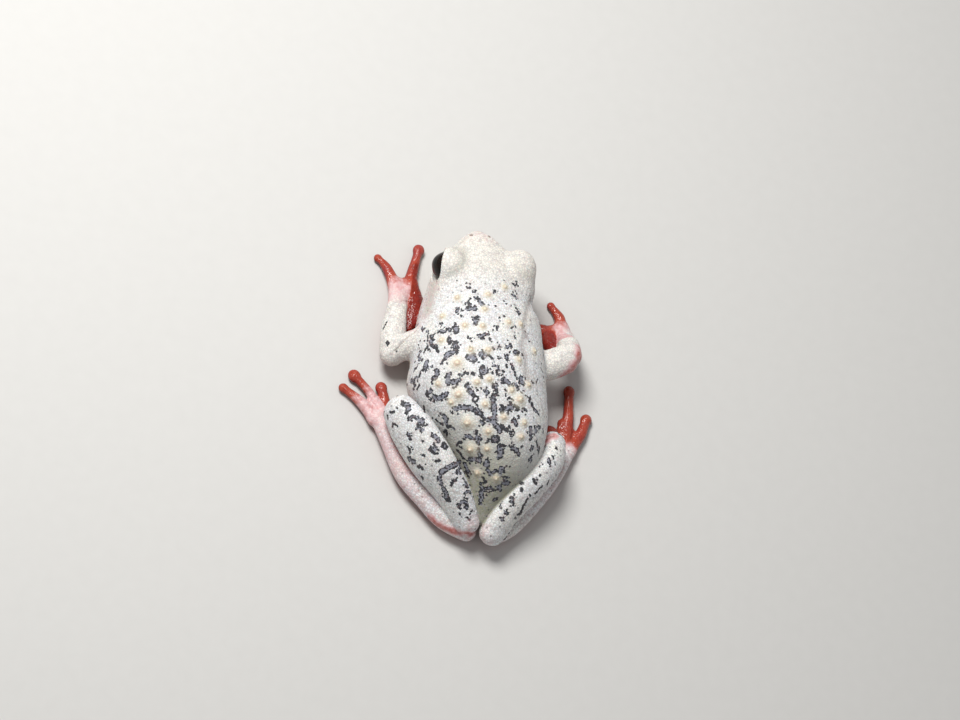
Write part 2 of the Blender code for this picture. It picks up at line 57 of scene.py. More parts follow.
# The forms, in mm on a frog 32 mm long, from the same named sizes as the solids.
# Trunk: y, x of the middle line, half width, top and underside heights.
TRUNK = [
    (-15.6, 1.05, 0.40, 3.2, 2.4), (-14.6, 1.15, 1.15, 4.1, 1.7), (-12.8, 1.65, 2.45, 5.9, 0.6),
    (-10.6, 2.20, 3.95, 8.0, -0.1), (-8.0, 2.00, 5.35, 9.6, -0.4),
    (-5.0, 1.10, 6.75, 10.4, -0.4), (-1.5, 0.30, 7.40, 10.8, -0.4),
    (1.2, 0.38, 7.20, 10.6, -0.4), (3.9, 0.45, 6.95, 10.1, -0.3), (6.2, 0.55, 6.60, 9.6, -0.1),
    (8.2, 0.28, 5.86, 9.1, 0.4), (9.8, 0.50, 5.45, 8.7, 0.9), (11.4, 0.42, 4.75, 8.3, 1.5),
    (13.3, 0.44, 3.76, 7.6, 2.1), (14.7, 0.34, 2.54, 6.9, 2.7), (15.6, 0.15, 1.40, 6.2, 3.3),
    (16.1, 0.15, 0.60, 5.5, 4.1),
]
BACK_ROUNDNESS = 2.15  # power of the section above its widest line
BELLY_ROUNDNESS = 2.6
WIDEST_AT = 0.42  # share of the height at which a section is widest

HEAD_X, SNOUT_X = 0.35, 0.15
EYE_OUT, EYE_Y, EYE_Z = 3.9, 11.55, 6.4
HEAD_TURN = 0.04  # the head is turned a little to the left: how much further forward its right side is
HEAD_ROLL = 0.17  # and rolled: how much more the left eye looks up
EYE_RADIUS = 1.65
EYE_LOOKS = (0.93, 0.2, 0.25)  # the right eye's axis before the head is turned
BROWS, BROW_SIZE = {"left": (-3.25, 11.45, 6.45), "right": (4.45, 11.9, 6.5)}, (1.75, 2.1, 1.85)
TEMPLES, TEMPLE_SIZE = {"left": (-3.45, 9.5, 5.4), "right": (4.85, 10.05, 5.5)}, (1.4, 1.9, 1.9)
SNOUT, SNOUT_SIZE = (SNOUT_X, 15.0, 4.9), (1.6, 1.15, 1.2)
LID = 0.22  # thickness of the lids over the eye
OPENING = {"left": (2.05, 1.4), "right": (1.9, 1.2)}  # half length and half height of the eye's opening
OPENING_AHEAD = {"left": 1.2, "right": 1.75}  # how far in front of the eye's centre its middle lies
OPENING_DROPS = {"left": 0.42, "right": 0.45}  # how far its middle lies below the line of sight
OPENING_DEEP = 1.6
SOCKET_GRIP = 0.03  # how far the eyeball is sunk into its socket and the lids
# The right brow's overhang is thinned down to the lid by a hollow in front of the eye and below it
HOLLOW_AHEAD, HOLLOW_DROPS, HOLLOW_SIZE = 2.95, 0.7, (1.25, 2.6, 1.6)
IRIS, PUPIL = 1.12, (0.52, 0.3)  # radius, and half length and half height
EYE_DEPTHS = {"left": 1.0, "right": 1.16}  # how much deeper the front of the eyeball is than round
CORNEA = 0.06  # how far the cornea bulges, as a share of the eye's radius
NOSTRIL_OUT, NOSTRIL_Y, NOSTRIL_RADIUS = 0.95, 15.25, 0.2
MOUTH_END_Y = 9.6
MOUTH_HEIGHTS = (3.4, 4.3)  # at the corner of the mouth and at the snout
CANTHUS_START = (2.6, 13.1, 6.6)  # where the ridge to the nostril leaves the brow
CANTHUS_HALF, CANTHUS_HIGH = 0.45, 0.1
EAR, EAR_RADIUS, EAR_DEEP = (4.9, 9.0, 5.0), 0.6, 0.035
LIP_HALF, LIP_DEEP, NOSTRIL_DEEP = 0.13, 0.2, 0.12
# The tint of the mouth's line and the nostril pits is painted shade in their recesses
FACE_SHADE, PIT_SHADE = 1.7, 1.3  # how strongly the line of the mouth and the pits are tinted
CLOUD_SPREAD = 0.06  # how far the clouds' rims reach past the strokes that were read
MARK_REACH = 0.5  # how far round a mark its distance is worked out
WOBBLE_SIZE, WOBBLE = 0.6, 0.16  # how long and how deep the ragged edges of the marks are
INNER_SOFT = {"left": 0.35, "right": 1.0}  # width of the seam between the palm and its red inner side
# How flushed the limbs are, where 0 is white and 1 is red
PALM_FLUSH, SOLE_FLUSH = 0.34, {"left": 0.2, "right": 0.09}
FINGER_FLUSH, TOE_FLUSH, TOE_RED = 0.67, 0.32, 0.34  # toes at their root, and what their red adds
INNER_FLUSH, UNDER_FLUSH = 1.05, 0.7  # the folded inner side of the hand, and the undersides
GRANULE, GRANULE_HIGH = 0.3, 0.016  # the skin's fine grains: width and height in mm

# Limbs: x, y, z, half width and half thickness at each station from the root outwards; the
# radius of the disc at each digit's tip, and the share of its length from which it is red.
ARMS = {
    "left": {
        "upper": [(-5.2, 3.6, 4.8, 1.5, 1.45), (-6.8, 3.2, 3.7, 1.45, 1.4), (-8.2, 2.7, 2.6, 1.35, 1.3)],
        "fore": [(-8.5, 2.5, 2.3, 1.35, 1.35), (-8.3, 5.2, 2.0, 1.38, 1.3), (-7.85, 7.9, 1.55, 1.04, 0.9)],
        "inner": [(-6.5, 5.7, 1.2, 0.45, 0.6), (-6.0, 7.2, 1.1, 0.95, 0.85), (-5.85, 8.6, 1.0, 1.0, 0.8),
                  (-5.8, 9.9, 0.85, 0.75, 0.65), (-5.9, 11.2, 0.75, 0.55, 0.55)],
        "palm": [(-7.8, 8.1, 1.5, 1.02, 0.9), (-7.6, 9.8, 1.1, 1.1, 0.72), (-7.3, 11.0, 0.8, 1.3, 0.55)],
        "digits": [
            [(-6.8, 9.4, 0.9, 0.65), (-5.8, 8.7, 0.7, 0.6), (-5.0, 7.9, 0.5, 0.5)],
            [(-6.6, 10.2, 0.9, 0.75), (-5.7, 9.95, 0.7, 0.62), (-4.9, 9.0, 0.5, 0.52)],
            [(-6.35, 10.9, 0.75, 0.85), (-5.85, 12.9, 0.6, 0.57), (-5.25, 15.15, 0.5, 0.52)],
            [(-7.9, 10.8, 0.75, 0.8), (-8.85, 12.85, 0.55, 0.53), (-9.75, 13.85, 0.42, 0.4)],
        ],
        "discs": (0.5, 0.55, 0.68, 0.43),
        "red_from": (0.0, 0.0, -0.1, 0.15),
    },
    "right": {
        "upper": [(5.6, 1.6, 4.4, 1.6, 1.55), (8.0, 1.9, 4.6, 1.65, 1.5), (10.0, 2.75, 4.7, 1.6, 1.4)],
        "fore": [(10.55, 3.3, 4.5, 1.42, 1.35), (10.95, 4.7, 3.2, 1.25, 1.2),
                 (11.12, 5.95, 1.7, 0.99, 0.85)],
        "inner": [(9.5, 4.5, 2.2, 0.7, 0.7), (9.3, 5.5, 1.6, 0.9, 0.75), (9.4, 6.4, 1.1, 0.9, 0.65),
                  (9.9, 7.2, 0.85, 0.7, 0.5)],
        "palm": [(11.1, 6.3, 1.5, 1.0, 0.86), (10.95, 7.0, 1.0, 1.05, 0.65), (10.65, 7.8, 0.8, 1.0, 0.5)],
        "digits": [
            [(9.7, 6.1, 0.9, 0.55), (8.9, 5.6, 0.6, 0.5), (8.2, 5.1, 0.45, 0.45)],
            [(9.8, 6.7, 0.8, 0.6), (8.8, 6.6, 0.6, 0.52), (7.9, 6.5, 0.45, 0.48)],
            [(9.9, 7.1, 0.8, 0.7), (8.8, 7.4, 0.6, 0.55), (7.8, 7.7, 0.45, 0.5)],
            [(10.95, 7.6, 0.75, 0.82), (10.75, 8.95, 0.58, 0.6), (9.9, 10.2, 0.42, 0.42)],
        ],
        "discs": (0.5, 0.52, 0.55, 0.44),
        "red_from": (0.0, 0.0, 0.0, 0.1),
    },
}
LEGS = {
    "left": {
        "thigh": [(-0.7, -12.8, 3.1, 1.4, 1.4), (-3.6, -9.4, 2.3, 1.9, 1.6), (-6.9, -5.6, 2.8, 1.5, 1.4)],
        "shank": [(-8.15, -4.45, 4.5, 2.0, 1.5), (-6.9, -6.5, 4.8, 2.65, 1.7), (-4.7, -9.7, 4.8, 2.8, 1.7),
                  (-2.05, -12.9, 3.9, 2.15, 1.45), (-0.4, -15.5, 2.8, 1.5, 1.25)],
        "broad": (0.53, 0.0, 0.85),
        "tarsus": [(0.0, -16.05, 1.4, 1.15, 1.05), (-2.4, -14.85, 1.4, 1.25, 1.15),
                   (-4.45, -12.8, 1.4, 1.25, 1.15), (-6.65, -10.3, 1.35, 1.25, 1.1),
                   (-8.3, -7.0, 1.25, 1.05, 1.0), (-9.5, -4.4, 1.0, 0.95, 0.8)],
        "digits": [
            [(-9.0, -5.0, 0.8, 0.5), (-8.2, -5.1, 0.6, 0.46), (-7.4, -5.0, 0.42, 0.42)],
            [(-9.0, -4.6, 0.8, 0.55), (-8.2, -4.1, 0.6, 0.5), (-7.5, -3.7, 0.45, 0.46)],
            [(-8.6, -4.3, 0.8, 0.65), (-8.8, -2.5, 0.6, 0.58), (-9.2, -0.9, 0.5, 0.58)],
            [(-9.2, -3.6, 0.9, 0.6), (-10.5, -1.5, 0.6, 0.46), (-12.1, 0.2, 0.45, 0.56)],
            [(-10.0, -4.5, 0.9, 0.76), (-11.4, -2.7, 0.65, 0.58), (-13.3, -1.2, 0.42, 0.46)],
        ],
        "discs": (0.5, 0.55, 0.66, 0.72, 0.5),
        "red_from": (0.2, 0.2, 0.2, 0.6, 0.64),
    },
    "right": {
        "thigh": [(2.9, -13.0, 3.1, 1.4, 1.4), (5.2, -10.2, 2.3, 1.9, 1.6), (8.2, -6.6, 2.9, 1.5, 1.4),
                  (8.9, -5.1, 2.3, 1.05, 1.0)],
        "shank": [(8.8, -6.65, 4.1, 1.5, 1.3), (8.15, -8.95, 4.5, 1.72, 1.4), (6.0, -11.75, 4.5, 1.95, 1.35),
                  (3.8, -14.35, 3.5, 1.85, 1.3), (2.5, -16.4, 2.4, 1.6, 1.3)],
        "broad": (-0.72, 0.0, 0.69),
        "tarsus": [(2.9, -16.4, 1.4, 1.05, 1.05), (4.75, -15.25, 1.4, 1.1, 1.1),
                   (6.75, -13.05, 1.35, 1.15, 1.1), (8.9, -10.3, 1.3, 1.15, 1.0),
                   (10.45, -7.9, 1.1, 1.05, 0.9), (11.3, -6.3, 0.95, 1.0, 0.75)],
        "digits": [
            [(10.8, -6.5, 0.8, 0.5), (9.8, -6.0, 0.6, 0.46), (9.0, -5.6, 0.42, 0.42)],
            [(10.8, -6.2, 0.8, 0.55), (9.8, -5.2, 0.6, 0.5), (9.3, -4.4, 0.45, 0.48)],
            [(10.6, -5.6, 0.8, 0.6), (10.75, -4.4, 0.6, 0.55), (11.0, -3.2, 0.45, 0.48)],
            [(11.15, -5.6, 0.85, 0.7), (11.65, -2.6, 0.6, 0.6), (11.85, 0.45, 0.48, 0.54)],
            [(11.75, -6.2, 0.85, 0.7), (13.05, -4.3, 0.6, 0.62), (13.75, -2.6, 0.45, 0.58)],
        ],
        "discs": (0.5, 0.55, 0.5, 0.66, 0.66),
        "red_from": (0.0, 0.0, -0.3, -0.3, -0.05),
    },
}
DISC_THICKNESS, DISC_NARROW = 0.36, 0.95  # half thickness, and width as a share of its length
DISC_AHEAD, DISC_LIFT = 0.1, 0.9  # how far past the tip, in radii, and off the floor, in half thicknesses
DIGIT_SIZE, JOINT_SWELL, DIGIT_FLATNESS = 0.99, 0.04, 0.9
WAIST, WAIST_AT, WAIST_LONG = 0.05, 0.86, 0.08  # before the disc: depth, place and length, as shares
WEB_REACH = {"hand": 0.3, "foot": 0.5}  # share of the digits that the webs reach
WEB_ROW, WEB_SAG, WEB_SEAM = (0.2, 0.16), 0.22, 0.15  # half width and half thickness of its rows
FLAT_ON_FLOOR = (1.0, 0.0, 0.0)  # the way that a digit's or palm's section is wide
UPPER_ARM_BROAD = (0, 1, 0)

# The clay
CLAY_LOW, CLAY_HIGH = (-15.0, -19.0, -0.6), (15.4, 17.4, 11.8)
GRAIN = 0.1  # spacing of the clay's grid points
FAR = 9.0  # stands for a distance that nothing reaches
SIDES = (("left", -1), ("right", 1))
SKIN_BLEND = {  # width in mm of the soft seam where a form joins the rest or is cut out of it
    "brow": 1.0, "temple": 1.3, "snout": 0.5, "lid": 0.5, "shoulder": 0.55, "hip": 0.06,
    "elbow": 0.12, "crease": 0.1, "palm": 0.4, "inner side": 0.25, "digit": 0.35, "disc": 0.18,
    "web": 0.22, "hollow": 0.4, "opening": 0.12, "socket": 0.05, "nostril": 0.08,
}


# The camera, which looks down on the frog from its left and behind
CAMERA_ROLL, CAMERA_PITCH = 16, 18  # degrees
CAMERA_TARGET = (0.45, 1.74, 5.0)
CAMERA_DISTANCE = 240.7
LENS, SENSOR = 85, 36
PHOTO_WIDE, PHOTO_HIGH = 960, 720

# The marks were read off the photograph. Each is a half width and then the points of its
# stroke, all in pixels of the photograph, where one pixel is PIXEL mm on the frog.
PIXEL = 0.106
SPOTS = {  # near-black dots and short strokes
    "front of the back": """
        .8 457,280.5 | .9 466.5,283 | .8 470,284 | 1.1 470.5,298.5 | 1.1 467.5,308 | .9 475,305.5
        | .9 477,308.5 | .9 456.5,307.5 | 1.1 458.5,313.5 | 1.2 461.5,310 462.5,311 | 1.1 461,315.5
        | .9 472,317.5 | 1.2 475.5,317.5 478,317 | 1 479.3,320 | .9 475,322.5 | .8 477.2,322.3
        | .8 476.5,324.8 | 1.1 477.5,297 | .6 488.7,305.5 | .8 503.7,301 | 1.2 506,303.8 | .8 511.5,306
        | 1 504,315.8 | .9 499.5,317.5 | 1 516.2,281.8 | .6 504.3,280.3 | 1 513,292.3 | 1 516.7,293.6
        | 1 516.5,299.5 | .9 515.2,305 | .9 516,308 517.5,309.5 | .6 519,308.8 | .9 518.8,314.5
        | .6 520.5,313.3""",
    "left shoulder": """
        .5 440.5,326.5 | .8 438,332.5 | .8 441,332.5 | .7 443.3,333 | .8 444.5,327.5 | 1 450.5,331
        | 1.2 452,328 454,326 455,323.5 | 1 453.5,331.5 455.5,333.5 457.5,332 | 1 424.5,328.7
        | .7 427.5,337 | .8 433,334.5 435,333.5 | .9 430,336.5 432,339 434.5,340 | .9 424.4,340.8
        | .7 420.3,340.7 | .9 418.7,344.5 | .8 419.3,348.3 | 1 431,345.5 | 1.1 434,346.5
        | .9 436.5,347.5 | 1.3 425.5,349 | 1 429,349 | 1.1 448.8,337 447.8,340 447.5,341.5
        | .9 449.5,343.5 | 1 451.8,340.5 450.5,342.5 | 1.2 453.5,344.5 455,342 456.5,341.5
        | .9 458.3,342 | 1 451.5,347.3 | 1.2 456,348.5 | .8 460.8,345 | .8 444.7,347.5
        | .9 467.5,336.5 469.5,338.5 471,338 | .9 472,341.5 | .7 474.7,338.5 | 1.2 470,347 471.5,349""",
    "right shoulder": """
        .9 493.5,326.3 | .9 493,330 | .9 485,333 | .8 488.8,331.5 | 1.2 481.5,338.3
        | .9 489.8,338.5 490,340 | .7 491.5,341.5 | .9 515.2,326.8 | .9 515,336.5 515.2,338.5
        | .8 507.3,340 | .8 497.5,342.5 | .9 497.5,349 | 1.1 492.5,347.5 493.5,349.5 | 1.1 529.3,341.5
        | .9 526,332""",
    "left of the back": """
        1.1 425.5,349 424.5,352 | 1.2 427,347 429,349.5 | .9 430,351 | 1.5 435.5,347 437,349.5 438,351.5
        | 1.3 456,348 457.5,351 457,353.5 | 1.3 444,360 442,362 441.5,363.5 | 1 447.5,363
        | 1.1 422,360.5 | 1.1 415.3,361.8 | .8 416,369 | .8 425,369.5 421,370.8 420,372.5 | .8 434,370
        | .8 438.5,372 | .9 432.5,378 431.5,382 432.5,384 | 1.2 417.7,380.5 | .9 413,383
        | 1.1 419.3,384.5 418.3,387 417.2,389.5 | 1.2 430.5,389 | 1.2 426,395 428.5,396.5
        | 1.3 431.3,398.5 | 1.2 433.8,401.5 | 1 442,393.5 | .9 438,399.5 | 1 442,400.5 | 1 451.5,374
        | 1 446,377 | 1 447.5,385 | .9 457.5,384 456,386.5 453.8,388 | 1 465.8,372.5 | 1 468.5,374.2
        | .7 462,376 | .6 463.3,369.5 | 1.2 472,373 474.5,374 | .8 466.5,357.5 | .9 470,361 475,361.5
        | .9 467.5,382.5 466.5,386.5 | .9 472,386 | .8 468.5,389 | .9 472.5,394.5 475,395
        | .8 478.5,397 475,396.5 472.5,399.5 474,402 477,401 478.5,397 | 1 458,414 | .9 464.5,405
        | .9 465.3,411.5 | 1.1 469,410.5 | .9 468,406 | 1.1 452,412.5 | .6 450.3,411.5
        | 1.3 424,406.5 424,409 424.7,412 | 1.1 432.5,417.5 | 1.1 436,420 437.5,421
        | 1.2 440.5,423 443,424.5 | 1.3 440.5,413 | .9 439,416 | 1.1 444.5,415 | .9 448.5,419""",
    "right of the back": """
        1 482.5,350 | .8 486,351 | .8 479.5,355 | 1.2 482.5,357.5 483,358.5 | 1 491,357 492.5,359
        | 1 476.5,360.5 | .9 479,362.5 | .8 474,362.3 | .9 480.5,368 482.5,365.5 485,367.5
        | .9 486.5,372.5 | 1.5 481.5,374.5 481.5,378 | .7 479,376.5 | 1 490.5,369.3 | 1.5 492.3,372.5
        | 1.2 496.8,370.5 497,374 498.5,374.5 | 1.2 502,374.8 | 1.1 498,356.5 | .8 498.5,358.5
        | .9 501.3,357.8 | .9 508.3,360 | 1 506.5,364 506,366 507.5,367.5 | 1.1 510,352
        | 1.1 518.5,352 517.5,355 | .7 516.5,350.5 | .9 522,354 523,355 | .8 541,368.5 | .8 542.5,371.5
        | .8 537.5,379.5 | .9 536.5,382 | .7 531.5,381 533.5,383.5 | 1 543.5,377.5 | .9 544,381.5
        | .7 541.5,363.5 | 1.1 517,378.5 | 1.1 525.5,378.5 | 1.2 519,383.5 | 1 523.5,385 | .8 515.5,376
        | 1.1 513.5,386 | .9 503.3,378 | .7 501.5,382 | .8 511.3,384 | 1 508.5,386 | 1.2 521.3,392.5
        | .6 523.5,391 | .8 505.5,389 506.5,391 | .8 506.3,394 506.5,396.5 | 1.1 525,395.5
        | .8 527.5,396.8 | 1.1 530,398.5 529,401.5 | 1.1 492.8,384 492.8,387
        | .8 495.5,382.5 498.5,385.5 | 1 494.5,391 497,391.5 496.5,395 493,395 | .9 498,395.5
        | .8 490.5,398 | .8 491,405 | .8 490.3,408.3 | .8 491.5,411.5 | .8 496.5,411 | 1 480.8,388.5
        | 1 477.5,390.3 | .6 476,388 | 1.1 486.3,387.5 | .8 486.3,397.8
        | 1.3 500.5,405 503,406.5 503,410 501.5,413 | 1.3 514.5,405.5 517.5,407.5 518.5,409.5 515.5,411
        | 1 511,411 | 1 508,412 508.5,414.5 | 1.1 508,399.5 510,398.5 512.5,400 | 1.1 510.5,402 511,404
        | 1 476.5,404.5 | .9 478,407 | .8 475,408.5 | .8 475.5,413 480,416 | 1.2 481.8,417.3
        | 1.2 522.5,412 | .9 525.5,414.5 | .9 518.3,416 518.3,418""",
    "rear of the back": """
        1.3 447.5,427 450,425.8 | 1 441,432.5 | 1.2 444,432 446,430 447,433 446.5,435 | .7 449.5,434
        | 1.3 457,450 460,453 462,457 464,459 | 1.1 464,459 | 1.3 456.5,445 458.5,443 461.5,442.5
        | .9 459.5,446.5 461.5,447.5 | 1.5 464,438.8 | .8 470,439 | 1.4 476.5,431 477,434 | .9 480,434.5
        | .9 480.5,439.5 | 1.1 477.5,442.5 | .8 478.5,445.3 | 1 479,448.5 | .7 482.5,456 | .9 475.5,463
        | 1.1 470,463.5 | 1 467,461 | .9 466,472 469,478 | .9 473.5,472 | .8 479.8,426 | .9 483,420.5
        | .8 490.5,420.5 | .8 490,424.5 | .8 497,423 | .8 497.5,430 | .8 494.5,428
        | 1.7 501.5,426 503,427.5 505,429 507,430 | .8 501,430 | 1.3 507,429.8 | 1.2 486.5,443.3
        | 1.2 488,441 488.5,439.5
        | 1 491,440 492,436.5 495,435.3 498,436.5 499,440 497.5,442.3 492.5,442.3 491,440
        | 1.5 500,445 504.5,446 | 1 496,452.5 | .9 503.5,453 | .9 500,458 | .9 508.7,445.5
        | .8 487.5,458.5 | .6 490.5,459.5 | .8 484,463 | .8 489,466 487.5,469 | .9 504,470 504,473
        | .9 506.7,466 | .8 510,466.5 | .9 484,474 | .8 482,476.5 484.5,478.5 | 1.2 485,480 486,482.5
        | .9 484.5,483 | .6 485,491.5 489,492.5 494,490 498,490 | .9 486.5,495.2 | 1 497,498
        | .8 501,484.8 | .9 512,422 | 1 516.7,425.7 | .8 513.5,418 | .8 518.5,417
        | 1 509.3,425.5 509.5,427.5 | .8 512.7,429 | 1 510.5,431 513.5,431.5 | .9 513.5,434.5
        | 1 511.3,436.5 | .8 508,431.5 | 1 511.7,442.3 | .9 513.5,445 | 1.2 511,447 | .9 519.3,455
        | 1.1 521.9,447 | .9 527.5,432.5 | .8 534.5,427.5 | .7 534.5,434.5 | .7 532.5,437 531.5,439
        | .9 543,429 543,433 | .8 532.5,447.5 | .9 536.3,442 536.8,445 | 1 539,447 539.5,449 538.5,453
        | .9 533.7,454""",
    "left shank": """
        .9 397.3,408 | 1 389.5,411.5 391.5,412.5 394,411.5 | .8 391.7,413.5
        | 1.2 387.6,416.5 387.8,418.5 | 1 393.5,423.5 392.5,426.3 | 1.1 394.5,424 397.8,426
        | 1.7 402.5,402 403,404 | .9 401.8,405 403.5,406 | 1.8 406.5,413 | 1.3 408.3,417.5 408.8,420
        | 1 417.5,424.5 418,426.5 | 1 421,425 424,425.5 427.5,424.8 | .8 407,434 | .8 411,433
        | .8 411.5,436 | .8 409.5,438.5 | 1.2 422.7,441.5 | 1.3 408,447.5 410,449.5 410,452.5
        | .9 412,447 | .8 413,449.5 | 1 410,456.5 | .9 409,460.5 | .9 413.5,459.5 | 1.1 412.3,463.5
        | 1.4 424,455.8 | .7 421.5,455.2 | 1.2 436,461.5 439,460 | .9 432.3,433
        | 1.2 431.5,436.5 433,437 | 1 434,443 | 1.2 434.3,445.5
        | 1.3 429.5,450 432,452 435,453.5 438,453.5 | .9 431.5,448 | .9 438,450
        | 1.1 442,446.5 444.5,443 447.5,446 446,449 444,448.5 442,446.5
        | 1.8 418,467 420,466 422.5,468.5 | 1 426,464 | 2.2 422.5,478 | 1.3 450,498 450,500.5 447,501
        | .8 442,493.5 | .8 443,496.5 | .8 456,473 457.5,474.5 | .8 457,478 | 1.2 453,481 455.5,480.5
        | 1.4 452,483 451.5,485 | .9 463,478 465,481 | .8 463.5,485 | .8 466.5,487 | .9 465.5,495
        | .9 464.5,498 | 1.2 467.3,499 | 1 458,507 460.5,508.5 | .9 466.5,504.5 | 1 459.5,513 460.2,515
        | .8 472,510 471,512 | 1 470.3,514 | 1 467.3,517.3 469.5,519.5""",
    "right shank": """
        .9 556,446.5 556.5,449 | .9 552.5,456 553.3,458.5 | 1 550.3,466 | .7 541.3,463 542.5,464.5
        | .9 539.5,467 | .7 555,464.5 | 1 540.2,475.5 | 1.2 533.5,479.5 534.5,482 536,483.5
        | 1.1 537.5,480.5 | 1.8 521.5,483.5 | 1.5 521.5,489 521.7,491 | 1 514.5,494.3 | 1.1 510,501.5
        | 1.2 513.5,502 513,505 | .8 510,506.5 | 1 500.5,506 | .9 501.5,508 | .6 501,504 | 1 507,509.5
        | .8 507.5,515 | .8 542,486 538.5,489 536,493.5 | .8 548.5,481 547.5,484
        | 1 529.5,494.5 530.5,496 | 1.3 527.5,498 526,502 524,505 522,509 521,512 518.5,514
        | 1.8 521,513 518.5,514 | 1 515.5,517.5 | .8 516,519""",
    "left forearm": """
        .8 386.8,322 383,328.5 | .9 386.5,343 387.5,342 388.6,343.6 387.5,345 386.5,343 | .8 396.1,351.6""",
}
